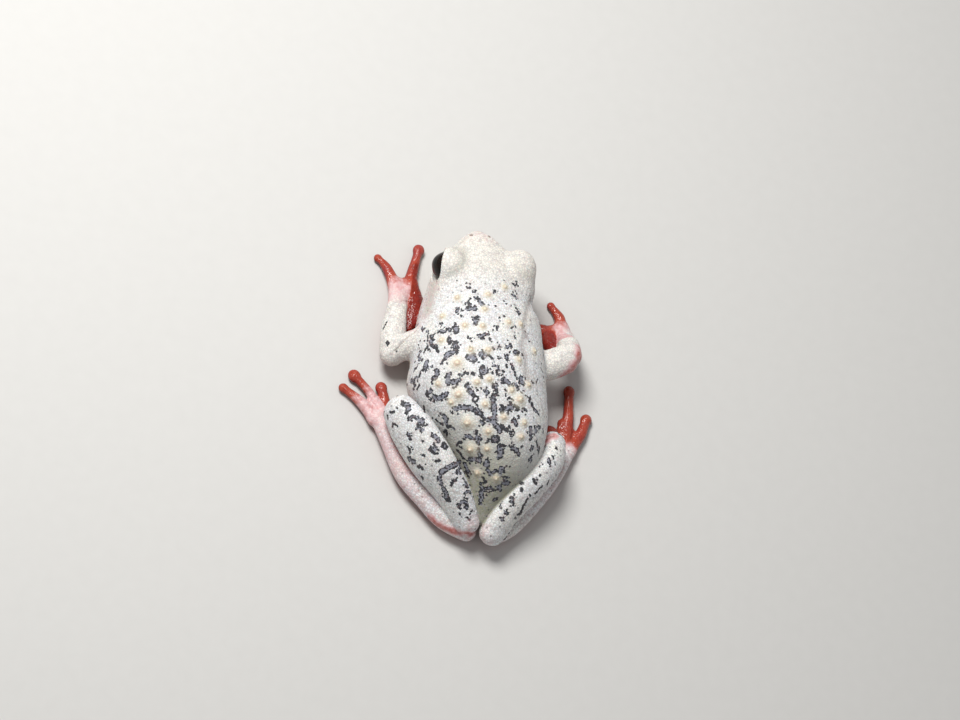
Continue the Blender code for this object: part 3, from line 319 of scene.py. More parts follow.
BLOTCHES = {  # grey clouds with dotted rims
    "front of the back": """
        1 467,287.5 469,287 471.5,288 | 1 474,292 475.5,291 | 1 466.5,303.5 469,301.5
        | 1.2 469,304 471,305 | 1.8 467,308.5 471,308.5 475,308 | 1.4 456.5,311 458,309.5
        | 2 475.5,319 476,323 | 1 494.5,293 495.8,291
        | 1.4 476,298 478.5,300 480.5,302 482.5,304.5 483.3,306 | .9 495.2,306 | .7 513.5,283
        | .7 514.8,285.5 517,284.5 | .5 515.3,290.5 | 1.4 512.5,295 514.5,296 517,297.5
        | 1 517,311 519,313""",
    "left shoulder": """
        .7 439.5,324.5 441.5,324 | 1.3 438.5,332 441,331 443.5,331.5 | 1 446.5,329
        | 1.2 449,328.5 448.5,331 | 1.8 456,329 | 1.2 421.5,327.5 423,330 | 1.4 427.5,331.5
        | .4 427.5,333 427.5,347 | 2.2 430.7,340.5 431.5,343.5 | 1.5 431,337.5 432.3,336
        | 1.6 442,331.5 444,331.5 | 2.4 455.5,328.5 456,330.5 | 2.2 449.5,339.5 450,341.5
        | 2.2 455.5,344.5 455.8,349 | 1.6 434,346 436.5,348""",
    "right shoulder": """
        .9 496.5,326 498,327.5 496.8,329 | 1.2 479,336 483,335 488,334.5 | 1 484,338.5
        | .7 512.5,327 511.5,328.5 | .9 499.3,345 499.3,348 | .9 510,343.5 510.5,347
        | 1 507,347 508.5,345.5""",
    "left of the back": """
        1.2 455,351 452,352 | 2.5 452,352.5 448.5,354.5 446,357 | 1 420,351.5 421,352
        | 1.2 418.8,356 419.5,359 422,360.3 | 1 418,364.5 416.5,367 414,370.5
        | 2.2 426.5,362 426,366 425,369 | .7 428,368 431.3,366.5 | 2.3 437,371 436,375
        | 1.3 436,378 433,377.5 | 1 420,375 418,377.5 416,379 | 1.2 412.5,379 411,382 | 1.2 415,378
        | 2 414,381 | 1 415,385 413,389 | 1.8 427.5,392.5 431,391.5 | .8 430,400
        | 2.2 434.5,397 438,398.5 442,397.5 446,394 | .9 446,399 450,400.5
        | 2.3 449,374 448,379 448,383.5 | 2 452,381 456,382.5 459.5,380.5
        | 1 460.5,374 463,372.5 467,373 | 2.5 468,357 472,355 474,358 | 2.4 467.5,385 469.5,389 472,393
        | 2.2 455,408.5 458,407.5 464,407 468,408 471.5,409 | 2.2 444,416 446,420 446.5,423.5""",
    "right of the back": """
        2.2 481,353 485,355 | .8 488.5,355 490.5,356 | 3 482,369 484,371 | 1 487,369 | 1.6 494.5,366
        | 1.4 497,366.5 498,369 | 1.4 500,371 | 1.2 503,371 | 1.2 506.5,354 506.8,358 507.5,361
        | 1.2 511.5,365 513,368 514,370.5 | .7 514.5,372 515.5,375 | 1.8 515,352 516,353
        | 2.6 521,379 522,382 | 1.2 515.5,384 517,387 518.5,389 517.5,390 | 2.2 503,380 507,382 510,384
        | 1.6 495.5,387 496,389 | 2.2 494,397 493,402 493.5,408 494,412 | 1.8 486,391 487.5,393.5
        | 1.2 484,390 | 2 501.5,409 | 2 506,409 509,407 512,408 | 2.5 477,411 479,413
        | 1.3 482.5,413.5 484.5,418 | 1 523,409 526,410 | 1.5 490.5,418.5 494,417 496.5,419""",
    "rear of the back": """
        1 452,428 454,429.5 | 2.2 446,431.5 | 1.6 466.5,436 470,437 474,438
        | 2 476,437 479,439 477.5,442 | 1.5 478.5,452 480,455 | 2 470.5,459 475,459 478,460 480.5,460
        | 1.9 465,465 467,468 469,473 | 1.2 482,424 481,422 484,423.5 | 1.5 487,420 490,421.5 493,423
        | 2 494,415 493,420 495,424 498,427 499.5,431 | 3.7 495,439 | 2.9 500,448 500,453 500.5,456
        | 2.2 487,462 486,465 | 1.8 488,471 490,474 492,475 | 1.5 494,472 496,471
        | 2.4 502,468 501,471 500,475 | 1.6 481,484 | 1.6 482,488 483,491 | 1.2 486,489 492,488
        | 1.2 479.5,497 | 2.3 498.5,487 500,489.5 | 2 504,483 508,483 | 1 504.5,477 508,477
        | 2.4 514,421 516,423 | 1.5 511,433 | 2 512,448 515,449 517,452 518,454
        | 1.3 538,426 539.5,427.5 | 1.4 530.5,428 531,433 530.5,439 | 1.3 534.5,427 536.5,430 534.5,433
        | 1.1 530,398.5 531,402 532,406 535,409.5 538,413.5 | 1.2 530.5,448.5 533,447
        | 1 537.5,446 538.5,450.5 | 2 481.5,493 482,497 481,500 | 1.6 480.5,503 481.5,505
        | 1.2 494,500 496,498.5 | 1.8 505,480 507,482.5 | 1.2 532,446 530,449.5
        | 1.4 531.5,457 529.5,459 530.5,461.5""",
    "left shank": """
        1.1 405,404.5 409,404 | 2.2 407.5,407 408.5,408.5
        | 1.1 411,420 412,417 414,416.5 416,418 417.5,417.5 | 3.2 421,421.5
        | 1.1 416,419 419,420.5 422,420 | 1.5 417.5,428.5 419.5,428.5 422,430.5 | 1.8 409,434 409.5,438
        | 2.2 409,459 412,460 413.5,460.5 | 2 435,436 437.5,438 438,441 | 3.4 434,449 | 2.8 444.5,446
        | 1.9 459,462 456.5,464 452,466 447,468 443,470.5 440,474 439.5,478 440.5,482 442,486 444,490
        446.5,494 447,498
        | 1.5 458.5,462.5 459.5,466 458,470 460,473 | 1.8 465,483 467,486.5
        | 1.1 465,492.5 468,491.5 470,492.5 | 1.5 458.5,504.5 461,502.5 464,502 467,504
        | 1.5 465,507.5 466.5,508""",
    "right shank": """
        1.1 549,459 549.5,463 | 1.6 511,497 513,499 512,502 | 1.4 504.5,512 507,513.5 | 2 502,519""",
}
FAINT_MARKS = {
    "front of the back": """
        .7 478.7,279 | .8 494.5,298.5 493.5,300.5 | 1 433,319.5 | .9 434.5,312 | .8 437.5,292.5""",
    "shoulders": "1 417,338.5 | .7 413.3,334 | .8 413.5,359 | 3 525.5,333 528,338",
    "right flank and rear": """
        .7 536,386 537,392 539.5,397 542,401 | .7 541,384 543,390 | .8 541,404 543,411
        | .7 540,416 541,422 | .8 533,420 536,423 | .8 534,378 536,382 | 1.2 535,436 537,439
        | 1 542.5,413 | .9 457,427 | 1 514,457 512,462 510,466 | 3 531,431 535,432 | 1.6 521,467
        | 1 520,471""",
    "left shank": ".9 389,405 | .8 392.5,405 | .9 424.3,438.3",
}
WARTS = """
    464.9,325.8 442.8,316.5 457.5,298.1 487.9,294.8 504.6,287.2 484.6,309.4 482.5,326.3 508.5,322.4
    520.4,324.1 441.7,340.4 438.4,383.7 471.0,350.1 477.0,382.2 489.4,379.4 488.3,350.1 485.1,404.3
    488.3,431.5 487.2,448.8 503.5,417.4 511.7,390.2 528.4,384.8 524.1,422.8 520.8,436.9 518.7,359.9
    533.9,351.2 495.9,478.1 477.5,472.7 451.4,402.2"""
LARGE_WARTS = "457.5,363.6 459.0,394.6 467.7,422.8 471.0,448.8 519.3,399.6"
# Each wart is a low mound with a small cone on it: the mound's radius and height, then the cone's
COMMON_WART = (0.62, 0.13, 0.23, 0.15)
LARGE_WART = (0.95, 0.22, 0.3, 0.22)

# Creases and folds: half width in mm, depth in mm, and the path in pixels
# A fold's tint is painted shade in its groove: the deeper the fold, the darker
DEEP_FOLD = 0.1  # a fold this deep or deeper is tinted in full
FOLDS = {
    "along the right flank": (0.42, 0.1, """531,301 528,308 526,318 525,330 526,333 522,347 524.5,352
        526,356 526.5,362 526.5,370 527.5,375 529,378"""),
    "below it": (0.2, 0.05, "527,362 530,368 532,373 535,380 538,388"),
    "left elbow": (0.11, 0.24, "415.7,330.6 405.9,338.2 394.6,351.2"),
    "behind the left eye": (0.12, 0.14, "433.5,276 434.5,279 436,282"),
    "left wrist": (0.1, 0.06, "388.4,309.4 391.5,305.5 396.1,302.4 403.2,300.6 407.4,302.4"),
    "right wrist": (0.1, 0.06, "556.7,345.4 561,342.2 564.3,341.1 568.1,341.3"),
    "right knee": (0.1, 0.1, "545.3,440.9 548.8,437.5 554.5,435.7"),
}
# Painted shade, laid in olive-grey into the white in the hollows beside the brows, on the left temple and
# along the left edge of the snout: its reach in mm, its strength and its path in pixels
PAINTED_SHADES = {
    "hollow beside the left brow": (0.85, 0.34, "463,249 464.5,255 463.5,262 458,269 449,274"),
    "hollow beside the right brow": (0.9, 0.2, "516,258 518,266 524,273 531,277"),
    "left temple": (1.6, 0.6, "434,284 431,296 428,309"),
    "left edge of the snout": (0.6, 0.22, "467,238 459,245 453,250"),
}
# Skin that is flushed red where another part of the body usually covers it: half width and
# softness of the edge in mm, strength, and the path in pixels
FLUSHED = {
    "inner side of the left hand": (0.5, 0.3, 1.0, """
        416.8,268 416.8,280 416.3,292 415,304 412.5,315 409.5,326"""),
    "foot of that side": (0.3, 0.3, 1.05, "416.5,306 414,314 410,324"),
    "outside of the right elbow": (0.3, 1.0, 0.45, "580.5,350 580,358 577,364.5 570.5,372 560,378"),
    "heel of the right hand": (0.75, 0.2, 0.33, "556,334 561,337 566,335.5"),
    "tip of the snout": (0.4, 1.2, 0.09, "471,237 480,233 489,238"),
    "right knee": (0.15, 0.6, 0.4, "545.5,441 549,437 555,435.5"),
    "left temple and flank": (0.3, 1.6, 0.1, "434,286 430,298 426,312 420,324"),
    "left flank beside the hand": (0.05, 0.4, 0.17, "424,300 421,312 418,323 411,331"),
    "heel of the left foot": (0.1, 0.8, 0.46, "430,518 436,524 444,528.5 453,531.5 463,533.5 471,533.5"),
    "heels": (0.3, 0.9, 0.13, "470,528 474,522"),
    "right heel": (0.3, 0.9, 0.12, "484,530 482,537 487,543"),
}

# Marks strewn by a seeded draw on skin that the photograph doesn't show: half widths and lengths in mm
STREWN_SEED, STREWN_TRIES = 7, 6000
STREWN_GAPS = (0.75, 1.1, 1.9)  # one of these is kept free round each
STREWN_CLOUDS = 0.45  # the share that are clouds
CLOUD_HALF, CLOUD_LONG, RIM_DOT_HALF, RIM_DOTS = (0.12, 0.24), (0.2, 0.6), (0.08, 0.13), (1, 4)
DOT_HALF, DOT_LONG = (0.08, 0.14), (0, 0.3)

# Sizes in mm of the skin's patterns, from one patch, bead or wrinkle to the next. The living skin's
# grain is about 0.1 mm, less than a pixel of the photograph, so its pebbles are drawn coarser.
PATCH, MOTTLE, PEBBLE, BEAD, SPECK, DOT_GRAIN, WRINKLE = 2.6, 0.45, 0.3, 0.27, 0.42, 0.18, 0.38
PEBBLE_HIGH = 0.035
IRIS_FLECK = 0.12
STIPPLE, STIPPLE_HIGH = 1.5, 0.02  # the paint roller's marks on the floor

# Lamps: place and width in m, power in W, colour
LAMPS = {
    "key": ((-0.08, 0.095, 0.19), 0.09, 0.555, "FFFEFB"),
    "fill": ((0.20, -0.14, 0.20), 0.20, 0.04, "FFFFFF"),
}
STUDIO_GREY, STUDIO_STRENGTH = "E5E5E5", 0.36
FLOOR_WIDE, FLOOR_DROP = 1.2, 0.02  # m, and mm below the frog, so that no two faces share a plane


def smooth_path(stations, steps):
    """The stations with more between them, on a smooth curve through them all."""
    s = np.array([stations[0], *stations, stations[-1]], float)
    a, b, c, d = s[:-3, None], s[1:-2, None], s[2:-1, None], s[3:, None]
    t = (np.arange(steps) / steps)[None, :, None]
    spans = 0.5 * (2 * b + (c - a) * t + (2 * a - 5 * b + 4 * c - d) * t**2 + (3 * b - a - 3 * c + d) * t**3)
    return np.vstack([spans.reshape(-1, s.shape[1]), s[-1:]])


def soft_union(a, b, blend):
    if blend <= 0:
        return np.minimum(a, b)
    near = np.maximum(blend - np.abs(a - b), 0) / blend
    return np.minimum(a, b) - near * near * blend / 4


def soft_cut(a, b, blend):
    """What of a lies outside b, with the rim rounded by blend."""
    return -soft_union(-a, b, blend)


class Clay:
    """A grid of distances to the skin, negative inside."""

    def __init__(self, low, high):
        first = np.floor(np.array(low) / GRAIN).astype(int)
        last = np.ceil(np.array(high) / GRAIN).astype(int)
        self.first = first
        self.depth = np.full(last - first + 1, FAR, np.float32)

    def window(self, low, high):
        """The part of the grid between two corners: its slices, and its x, y and z."""
        start = np.maximum(np.floor(np.array(low) / GRAIN).astype(int) - self.first, 0)
        stop = np.minimum(np.ceil(np.array(high) / GRAIN).astype(int) + 1 - self.first, self.depth.shape)
        stop = np.maximum(stop, start)
        axes = [
            ((np.arange(a, b) + f) * GRAIN).astype(np.float32) for a, b, f in zip(start, stop, self.first)
        ]
        cut = tuple(slice(a, b) for a, b in zip(start, stop))
        return cut, *np.meshgrid(*axes, indexing="ij", sparse=True)

    def press(self, form, blend=0.0):
        """Join a form to the clay, the seam rounded over blend."""
        low, high, distance = form
        margin = blend + 3 * GRAIN
        cut, x, y, z = self.window(np.array(low) - margin, np.array(high) + margin)
        self.depth[cut] = soft_union(self.depth[cut], distance(x, y, z), blend)

    def carve(self, form, blend=0.0):
        low, high, distance = form
        margin = blend + 3 * GRAIN
        cut, x, y, z = self.window(np.array(low) - margin, np.array(high) + margin)
        self.depth[cut] = soft_cut(self.depth[cut], distance(x, y, z), blend)

    def join(self, other, blend):
        """Join another piece of clay, cut from the same grid."""
        start = np.maximum(other.first, self.first)
        stop = np.minimum(other.first + other.depth.shape, self.first + self.depth.shape)
        here = tuple(slice(a, b) for a, b in zip(start - self.first, stop - self.first))
        there = tuple(slice(a, b) for a, b in zip(start - other.first, stop - other.first))
        self.depth[here] = soft_union(self.depth[here], other.depth[there], blend)

    def top_at(self, x, y):
        """The highest skin over a place."""
        i, j = (int(round(v / GRAIN)) - f for v, f in zip((x, y), self.first))
        column = self.depth[i, j]
        k = int(np.flatnonzero(column < 0)[-1])
        return (k + column[k] / (column[k] - column[k + 1]) + self.first[2]) * GRAIN

    def at(self, points):
        """The distance at any points, and which way it grows."""
        place = points / GRAIN - self.first
        base = np.clip(np.floor(place).astype(int), 0, np.array(self.depth.shape) - 2)
        fx, fy, fz = (place - base).T
        i, j, k = base.T
        c = {(a, b, e): self.depth[i + a, j + b, k + e] for a in (0, 1) for b in (0, 1) for e in (0, 1)}

        def mix(u, v, t):
            return u + (v - u) * t

        x00, x10 = mix(c[0, 0, 0], c[1, 0, 0], fx), mix(c[0, 1, 0], c[1, 1, 0], fx)
        x01, x11 = mix(c[0, 0, 1], c[1, 0, 1], fx), mix(c[0, 1, 1], c[1, 1, 1], fx)
        low, high = mix(x00, x10, fy), mix(x01, x11, fy)
        slope_x = mix(mix(c[1, 0, 0] - c[0, 0, 0], c[1, 1, 0] - c[0, 1, 0], fy),
                      mix(c[1, 0, 1] - c[0, 0, 1], c[1, 1, 1] - c[0, 1, 1], fy), fz)
        slope_y = mix(x10 - x00, x11 - x01, fz)
        return mix(low, high, fz), np.stack([slope_x, slope_y, high - low], 1) / GRAIN


def trunk_form():
    """The trunk: every slice across it is rounded over the back and flatter under the belly."""
    path = smooth_path(TRUNK, 12)

    def distance(x, y, z):
        axis, half, top, under = [
            np.interp(y, path[:, 0], path[:, i]).astype(np.float32) for i in (1, 2, 3, 4)
        ]
        middle = under + WIDEST_AT * (top - under)
        upper = z > middle
        across = np.abs(x - axis) / half
        up = np.abs(z - middle) / np.where(upper, top - middle, middle - under)
        r = np.where(
            upper,
            (across**BACK_ROUNDNESS + up**BACK_ROUNDNESS) ** (1 / BACK_ROUNDNESS),
            (across**BELLY_ROUNDNESS + up**BELLY_ROUNDNESS) ** (1 / BELLY_ROUNDNESS),
        )
        r = np.maximum(r, 1e-3)
        flat = np.hypot(x - axis, z - middle) * (1 - 1 / r)
        beyond = np.maximum(np.maximum(path[0, 0] - y, y - path[-1, 0]), 0)
        return np.where(beyond > 0, np.hypot(np.maximum(flat, 0), beyond), flat).astype(np.float32)

    widest = path[:, 2].max()
    return (-widest, path[0, 0], path[:, 4].min()), (widest + 1.3, path[-1, 0], path[:, 3].max()), distance


def unit(v):
    v = np.asarray(v, float)
    return v / np.linalg.norm(v)


def tube_form(stations, side=FLAT_ON_FLOOR, steps=5):
    """A round-ended limb through its stations, its section an ellipse that is wide along side."""
    s = smooth_path([t if len(t) == 5 else (*t, t[3]) for t in stations], steps)
    spots, wide, thick = s[:, :3], s[:, 3], s[:, 4]
    reach = max(wide.max(), thick.max())

    def distance(x, y, z):
        nearest = np.full(np.broadcast_shapes(x.shape, y.shape, z.shape), FAR, np.float32)
        for i in range(len(spots) - 1):
            a, way = spots[i], spots[i + 1] - spots[i]
            length = np.linalg.norm(way)
            way = way / length
            flat = np.asarray(side, float) if abs(np.dot(side, way)) < 0.99 else np.array((0.0, 1.0, 0.0))
            across = unit(flat - way * np.dot(flat, way))
            up = np.cross(way, across)
            px, py, pz = x - a[0], y - a[1], z - a[2]
            along = px * way[0] + py * way[1] + pz * way[2]
            share = np.clip(along / length, 0, 1)
            past = along - share * length
            u = px * across[0] + py * across[1] + pz * across[2]
            v = px * up[0] + py * up[1] + pz * up[2]
            w, h = wide[i] + (wide[i + 1] - wide[i]) * share, thick[i] + (thick[i + 1] - thick[i]) * share
            r = np.sqrt((u / w) ** 2 + (v / h) ** 2 + (past / np.minimum(w, h)) ** 2)
            r = np.maximum(r, 1e-3)
            nearest = np.minimum(nearest, np.sqrt(u * u + v * v + past * past) * (1 - 1 / r))
        return nearest.astype(np.float32)

    return spots.min(0) - reach, spots.max(0) + reach, distance


def ball_form(centre, size, axes=None):
    """An ellipsoid. Its half axes lie along x, y and z, or along the three unit axes given."""
    axes = np.eye(3) if axes is None else np.array(axes)
    reach = max(size)

    def distance(x, y, z):
        px, py, pz = x - centre[0], y - centre[1], z - centre[2]
        parts = [px * a[0] + py * a[1] + pz * a[2] for a in axes]
        r = np.maximum(np.sqrt(sum((p / s) ** 2 for p, s in zip(parts, size))), 1e-3)
        return (np.sqrt(px * px + py * py + pz * pz) * (1 - 1 / r)).astype(np.float32)

    return np.array(centre) - reach, np.array(centre) + reach, distance


def web_form(first, second, reach):
    """The skin between two digits: a thin sheet from their roots with a hollow free edge."""
    a, b = (smooth_path(stations, 6)[:, :3] for stations in (first, second))
    last = int(reach * (len(a) - 1))
    rows = []
    for i in range(2 * last + 1):
        low, share = i // 2, i / 2 - i // 2
        p = a[low] * (1 - share) + a[min(low + 1, last)] * share
        q = b[low] * (1 - share) + b[min(low + 1, last)] * share
        sag = (p + q) / 2 - (a[last] + b[last] - a[0] - b[0]) / 2 * WEB_SAG * (i / max(1, 2 * last))
        rows.append(tube_form([(*spot, *WEB_ROW) for spot in (p, sag, q)], steps=3))
    low = np.min([r[0] for r in rows], 0)
    high = np.max([r[1] for r in rows], 0)

    def distance(x, y, z):
        nearest = rows[0][2](x, y, z)
        for row in rows[1:]:
            nearest = soft_union(nearest, row[2](x, y, z), WEB_SEAM)
        return nearest

    return low, high, distance


def digit_stations(stations):
    """A digit's stations with the slight swellings at its joints and the waist before the disc."""
    path = smooth_path(stations, 6)
    share = np.linspace(0, 1, len(path))
    swell = DIGIT_SIZE + JOINT_SWELL * np.cos(share * 4 * math.pi)
    waist = 1 - WAIST * np.exp(-(((share - WAIST_AT) / WAIST_LONG) ** 2))
    radius = path[:, 3] * swell * waist
    return [(*p[:3], r, r * DIGIT_FLATNESS) for p, r in zip(path, radius)]


def press_digits(clay, limb, web_reach):
    for stations, disc in zip(limb["digits"], limb["discs"]):
        clay.press(tube_form(digit_stations(stations), steps=1), SKIN_BLEND["digit"])
        tip, before = np.array(stations[-1][:3]), np.array(stations[-2][:3])
        way = unit((tip - before) * (1, 1, 0))
        axes = (way, np.cross((0, 0, 1), way), (0, 0, 1))
        centre = tip + way * disc * DISC_AHEAD
        centre[2] = max(DISC_THICKNESS * DISC_LIFT, tip[2])
        clay.press(ball_form(centre, (disc, disc * DISC_NARROW, DISC_THICKNESS), axes), SKIN_BLEND["disc"])
    for first, second in zip(limb["digits"], limb["digits"][1:]):
        clay.press(web_form(first, second, web_reach), SKIN_BLEND["web"])


def limb_clay(stations_lists, margin=1.2):
    every = np.array([s[:3] for stations in stations_lists for s in stations])
    width = max(s[3] for stations in stations_lists for s in stations)
    return Clay(every.min(0) - width - margin, every.max(0) + width + margin)


def arm_clay(side):
    arm = ARMS[side]
    clay = limb_clay([arm["upper"], arm["fore"], arm["palm"], *arm["digits"]])
    clay.press(tube_form(arm["fore"]), 0)
    clay.press(tube_form(arm["palm"]), SKIN_BLEND["palm"])
    clay.press(tube_form(arm["inner"]), SKIN_BLEND["inner side"])
    press_digits(clay, arm, WEB_REACH["hand"])
    clay.press(tube_form(arm["upper"], UPPER_ARM_BROAD), SKIN_BLEND["elbow"])
    return clay


def leg_clay(side):
    leg = LEGS[side]
    clay = limb_clay([leg["thigh"], leg["shank"], leg["tarsus"], *leg["digits"]])
    clay.press(tube_form(leg["tarsus"]), 0)
    press_digits(clay, leg, WEB_REACH["foot"])
    clay.press(tube_form(leg["thigh"]), SKIN_BLEND["crease"])
    clay.press(tube_form(leg["shank"], leg["broad"]), SKIN_BLEND["crease"])
    return clay


def mirrored(place, sign):
    """A place given for the right side of a straight head, on either side of the turned one."""
    return np.array((HEAD_X + sign * place[0], place[1] + HEAD_TURN * sign * place[0], place[2]))


def eye_axes(sign):
    """The way that an eye looks, its front-to-back line and its up."""
    looks = unit((sign * EYE_LOOKS[0], EYE_LOOKS[1], EYE_LOOKS[2] - sign * HEAD_ROLL))
    along = unit(np.cross((0, 0, 1), looks)) * sign
    return looks, along, np.cross(looks, along) * sign


def model_head(clay):
    clay.press(ball_form(SNOUT, SNOUT_SIZE), SKIN_BLEND["snout"])
    for side, sign in SIDES:
        clay.press(ball_form(TEMPLES[side], TEMPLE_SIZE), SKIN_BLEND["temple"])
        clay.press(ball_form(BROWS[side], BROW_SIZE), SKIN_BLEND["brow"])
        eye = mirrored((EYE_OUT, EYE_Y, EYE_Z), sign)
        clay.press(ball_form(eye, (EYE_RADIUS + LID,) * 3), SKIN_BLEND["lid"])
        looks, along, up = eye_axes(sign)
        opening = eye + looks * OPENING_AHEAD[side] - up * OPENING_DROPS[side]
        if side == "right":
            hollow = eye + looks * HOLLOW_AHEAD - up * HOLLOW_DROPS
            clay.carve(ball_form(hollow, HOLLOW_SIZE, (looks, along, up)), SKIN_BLEND["hollow"])
        slit = ball_form(opening, (OPENING_DEEP, *OPENING[side]), (looks, along, up))
        clay.carve(slit, SKIN_BLEND["opening"])
        clay.carve(ball_form(eye, (EYE_RADIUS - SOCKET_GRIP,) * 3), SKIN_BLEND["socket"])
        x = SNOUT_X + sign * NOSTRIL_OUT
        pit = ball_form((x, NOSTRIL_Y, clay.top_at(x, NOSTRIL_Y)), (NOSTRIL_RADIUS,) * 3)
        clay.carve(pit, SKIN_BLEND["nostril"])


def shape_skin():
    clay = Clay(CLAY_LOW, CLAY_HIGH)
    clay.press(trunk_form())
    model_head(clay)
    for side, sign in SIDES:
        clay.join(arm_clay(side), SKIN_BLEND["shoulder"])
    for side, sign in SIDES:
        clay.join(leg_clay(side), SKIN_BLEND["hip"])
    floor = (np.arange(clay.depth.shape[2]) + clay.first[2]) * GRAIN
    clay.depth = np.maximum(clay.depth, -floor[None, None, :].astype(np.float32))
    return clay


def surface_of(clay):
    """The zero surface of the clay as points and quads, one point in each cell that it crosses."""
    depth = clay.depth
    inside = depth < 0
    counts = np.zeros(np.array(depth.shape) - 1, np.int8)
    corners = [(a, b, c) for a in (0, 1) for b in (0, 1) for c in (0, 1)]

    def shifted(grid, corner, shape):
        return grid[tuple(slice(o, o + n) for o, n in zip(corner, shape))]

    for corner in corners:
        counts += shifted(inside, corner, counts.shape)
    cells = np.argwhere((counts > 0) & (counts < 8))
    number = np.full(counts.shape, -1, np.int32)
    number[tuple(cells.T)] = np.arange(len(cells))
    value = {corner: depth[tuple((cells + corner).T)] for corner in corners}
    total, hits = np.zeros((len(cells), 3)), np.zeros(len(cells))
    for start in corners:
        for axis in range(3):
            if start[axis]:
                continue
            stop = tuple(1 if i == axis else s for i, s in enumerate(start))
            a, b = value[start], value[stop]
            crossed = (a < 0) != (b < 0)
            share = np.where(crossed, a / np.where(crossed, a - b, 1), 0)
            point = np.tile(np.array(start, float), (len(cells), 1))
            point[:, axis] += share
            total += point * crossed[:, None]
            hits += crossed
    points = (cells + total / hits[:, None] + clay.first) * GRAIN
    quads = []
    for axis in range(3):
        u, v = (axis + 1) % 3, (axis + 2) % 3
        shape = np.array(depth.shape)
        shape[axis] -= 1
        ahead = tuple(1 if i == axis else 0 for i in range(3))
        low, high = shifted(inside, (0, 0, 0), shape), shifted(inside, ahead, shape)
        edges = np.argwhere(low != high)
        edges = edges[(edges[:, u] > 0) & (edges[:, v] > 0)]
        leaving = low[tuple(edges.T)]
        ring = []
        for du, dv in ((1, 1), (0, 1), (0, 0), (1, 0)):
            spot = edges.copy()
            spot[:, u] -= du
            spot[:, v] -= dv
            ring.append(number[tuple(spot.T)])
        ring = np.stack(ring, 1)
        quads.append(np.where(leaving[:, None], ring, ring[:, ::-1]))
    return points, np.vstack(quads)


def neighbours(quads, count):
    """Each point's neighbours along the quads' edges, as one list with a start and an end for each."""
    pairs = np.vstack([quads[:, [i, (i + 1) % 4]] for i in range(4)])
    pairs = np.vstack([pairs, pairs[:, ::-1]])
    pairs = np.unique(pairs, axis=0)
    return pairs[:, 0], pairs[:, 1], np.bincount(pairs[:, 0], minlength=count)


def relax(values, links, rounds, amount=0.5):
    """Average each point's value with its neighbours'."""
    start, end, degree = links
    for _ in range(rounds):
        mean = np.stack([np.bincount(start, values[end, i], len(values)) for i in range(values.shape[1])], 1)
        values = values + amount * (mean / degree[:, None] - values)
    return values


def largest_piece(points, quads):
    """Drop everything but the largest connected surface."""
    links = neighbours(quads, len(points))
    label = np.arange(len(points))
    while True:
        new = label.copy()
        np.minimum.at(new, links[0], label[links[1]])
        new = new[new]
        if (new == label).all():
            break
        label = new
    kept = label == np.bincount(label).argmax()
    order = np.cumsum(kept) - 1
    quads = order[quads[kept[quads[:, 0]]]]
    return points[kept], quads


def as_object(name, points, quads):
    mesh = bpy.data.meshes.new(name)
    mesh.vertices.add(len(points))
    mesh.vertices.foreach_set("co", points.astype(np.float32).ravel())
    mesh.loops.add(quads.size)
    mesh.loops.foreach_set("vertex_index", quads.astype(np.int32).ravel())
    mesh.polygons.add(len(quads))
    mesh.polygons.foreach_set("loop_start", np.arange(0, quads.size, 4, dtype=np.int32))
    mesh.update(calc_edges=True)
    mesh.validate()
    mesh.shade_smooth()
    made = bpy.data.objects.new(name, mesh)
    bpy.context.scene.collection.objects.link(made)
    return made


def mesh_normals(points, quads):
    a, b, c, d = (points[quads[:, i]] for i in range(4))
    face = np.cross(c - a, d - b)
    out = np.zeros_like(points)
    for i in range(4):
        for k in range(3):
            out[:, k] += np.bincount(quads[:, i], face[:, k], len(points))
    return out / np.maximum(np.linalg.norm(out, axis=1), 1e-9)[:, None]


def read_strokes(text):
    """The strokes of a list: each one's half width and its points, in pixels."""
    strokes = []
    for stroke in text.split("|"):
        width, *spots = stroke.split()
        strokes.append((float(width), [tuple(map(float, s.split(","))) for s in spots]))
    return strokes


def read_places(text):
    return [tuple(map(float, s.split(","))) for s in text.split()]


def camera_lines():
    """The camera's right, up and back on the frog's frame, and its place."""
    roll, pitch = math.radians(CAMERA_ROLL), math.radians(CAMERA_PITCH)
    back = np.array((-math.sin(roll) * math.cos(pitch), -math.sin(pitch), math.cos(roll) * math.cos(pitch)))
    right = np.array((math.cos(roll), 0, math.sin(roll)))
    return right, np.cross(back, right), back, np.array(CAMERA_TARGET) + back * CAMERA_DISTANCE


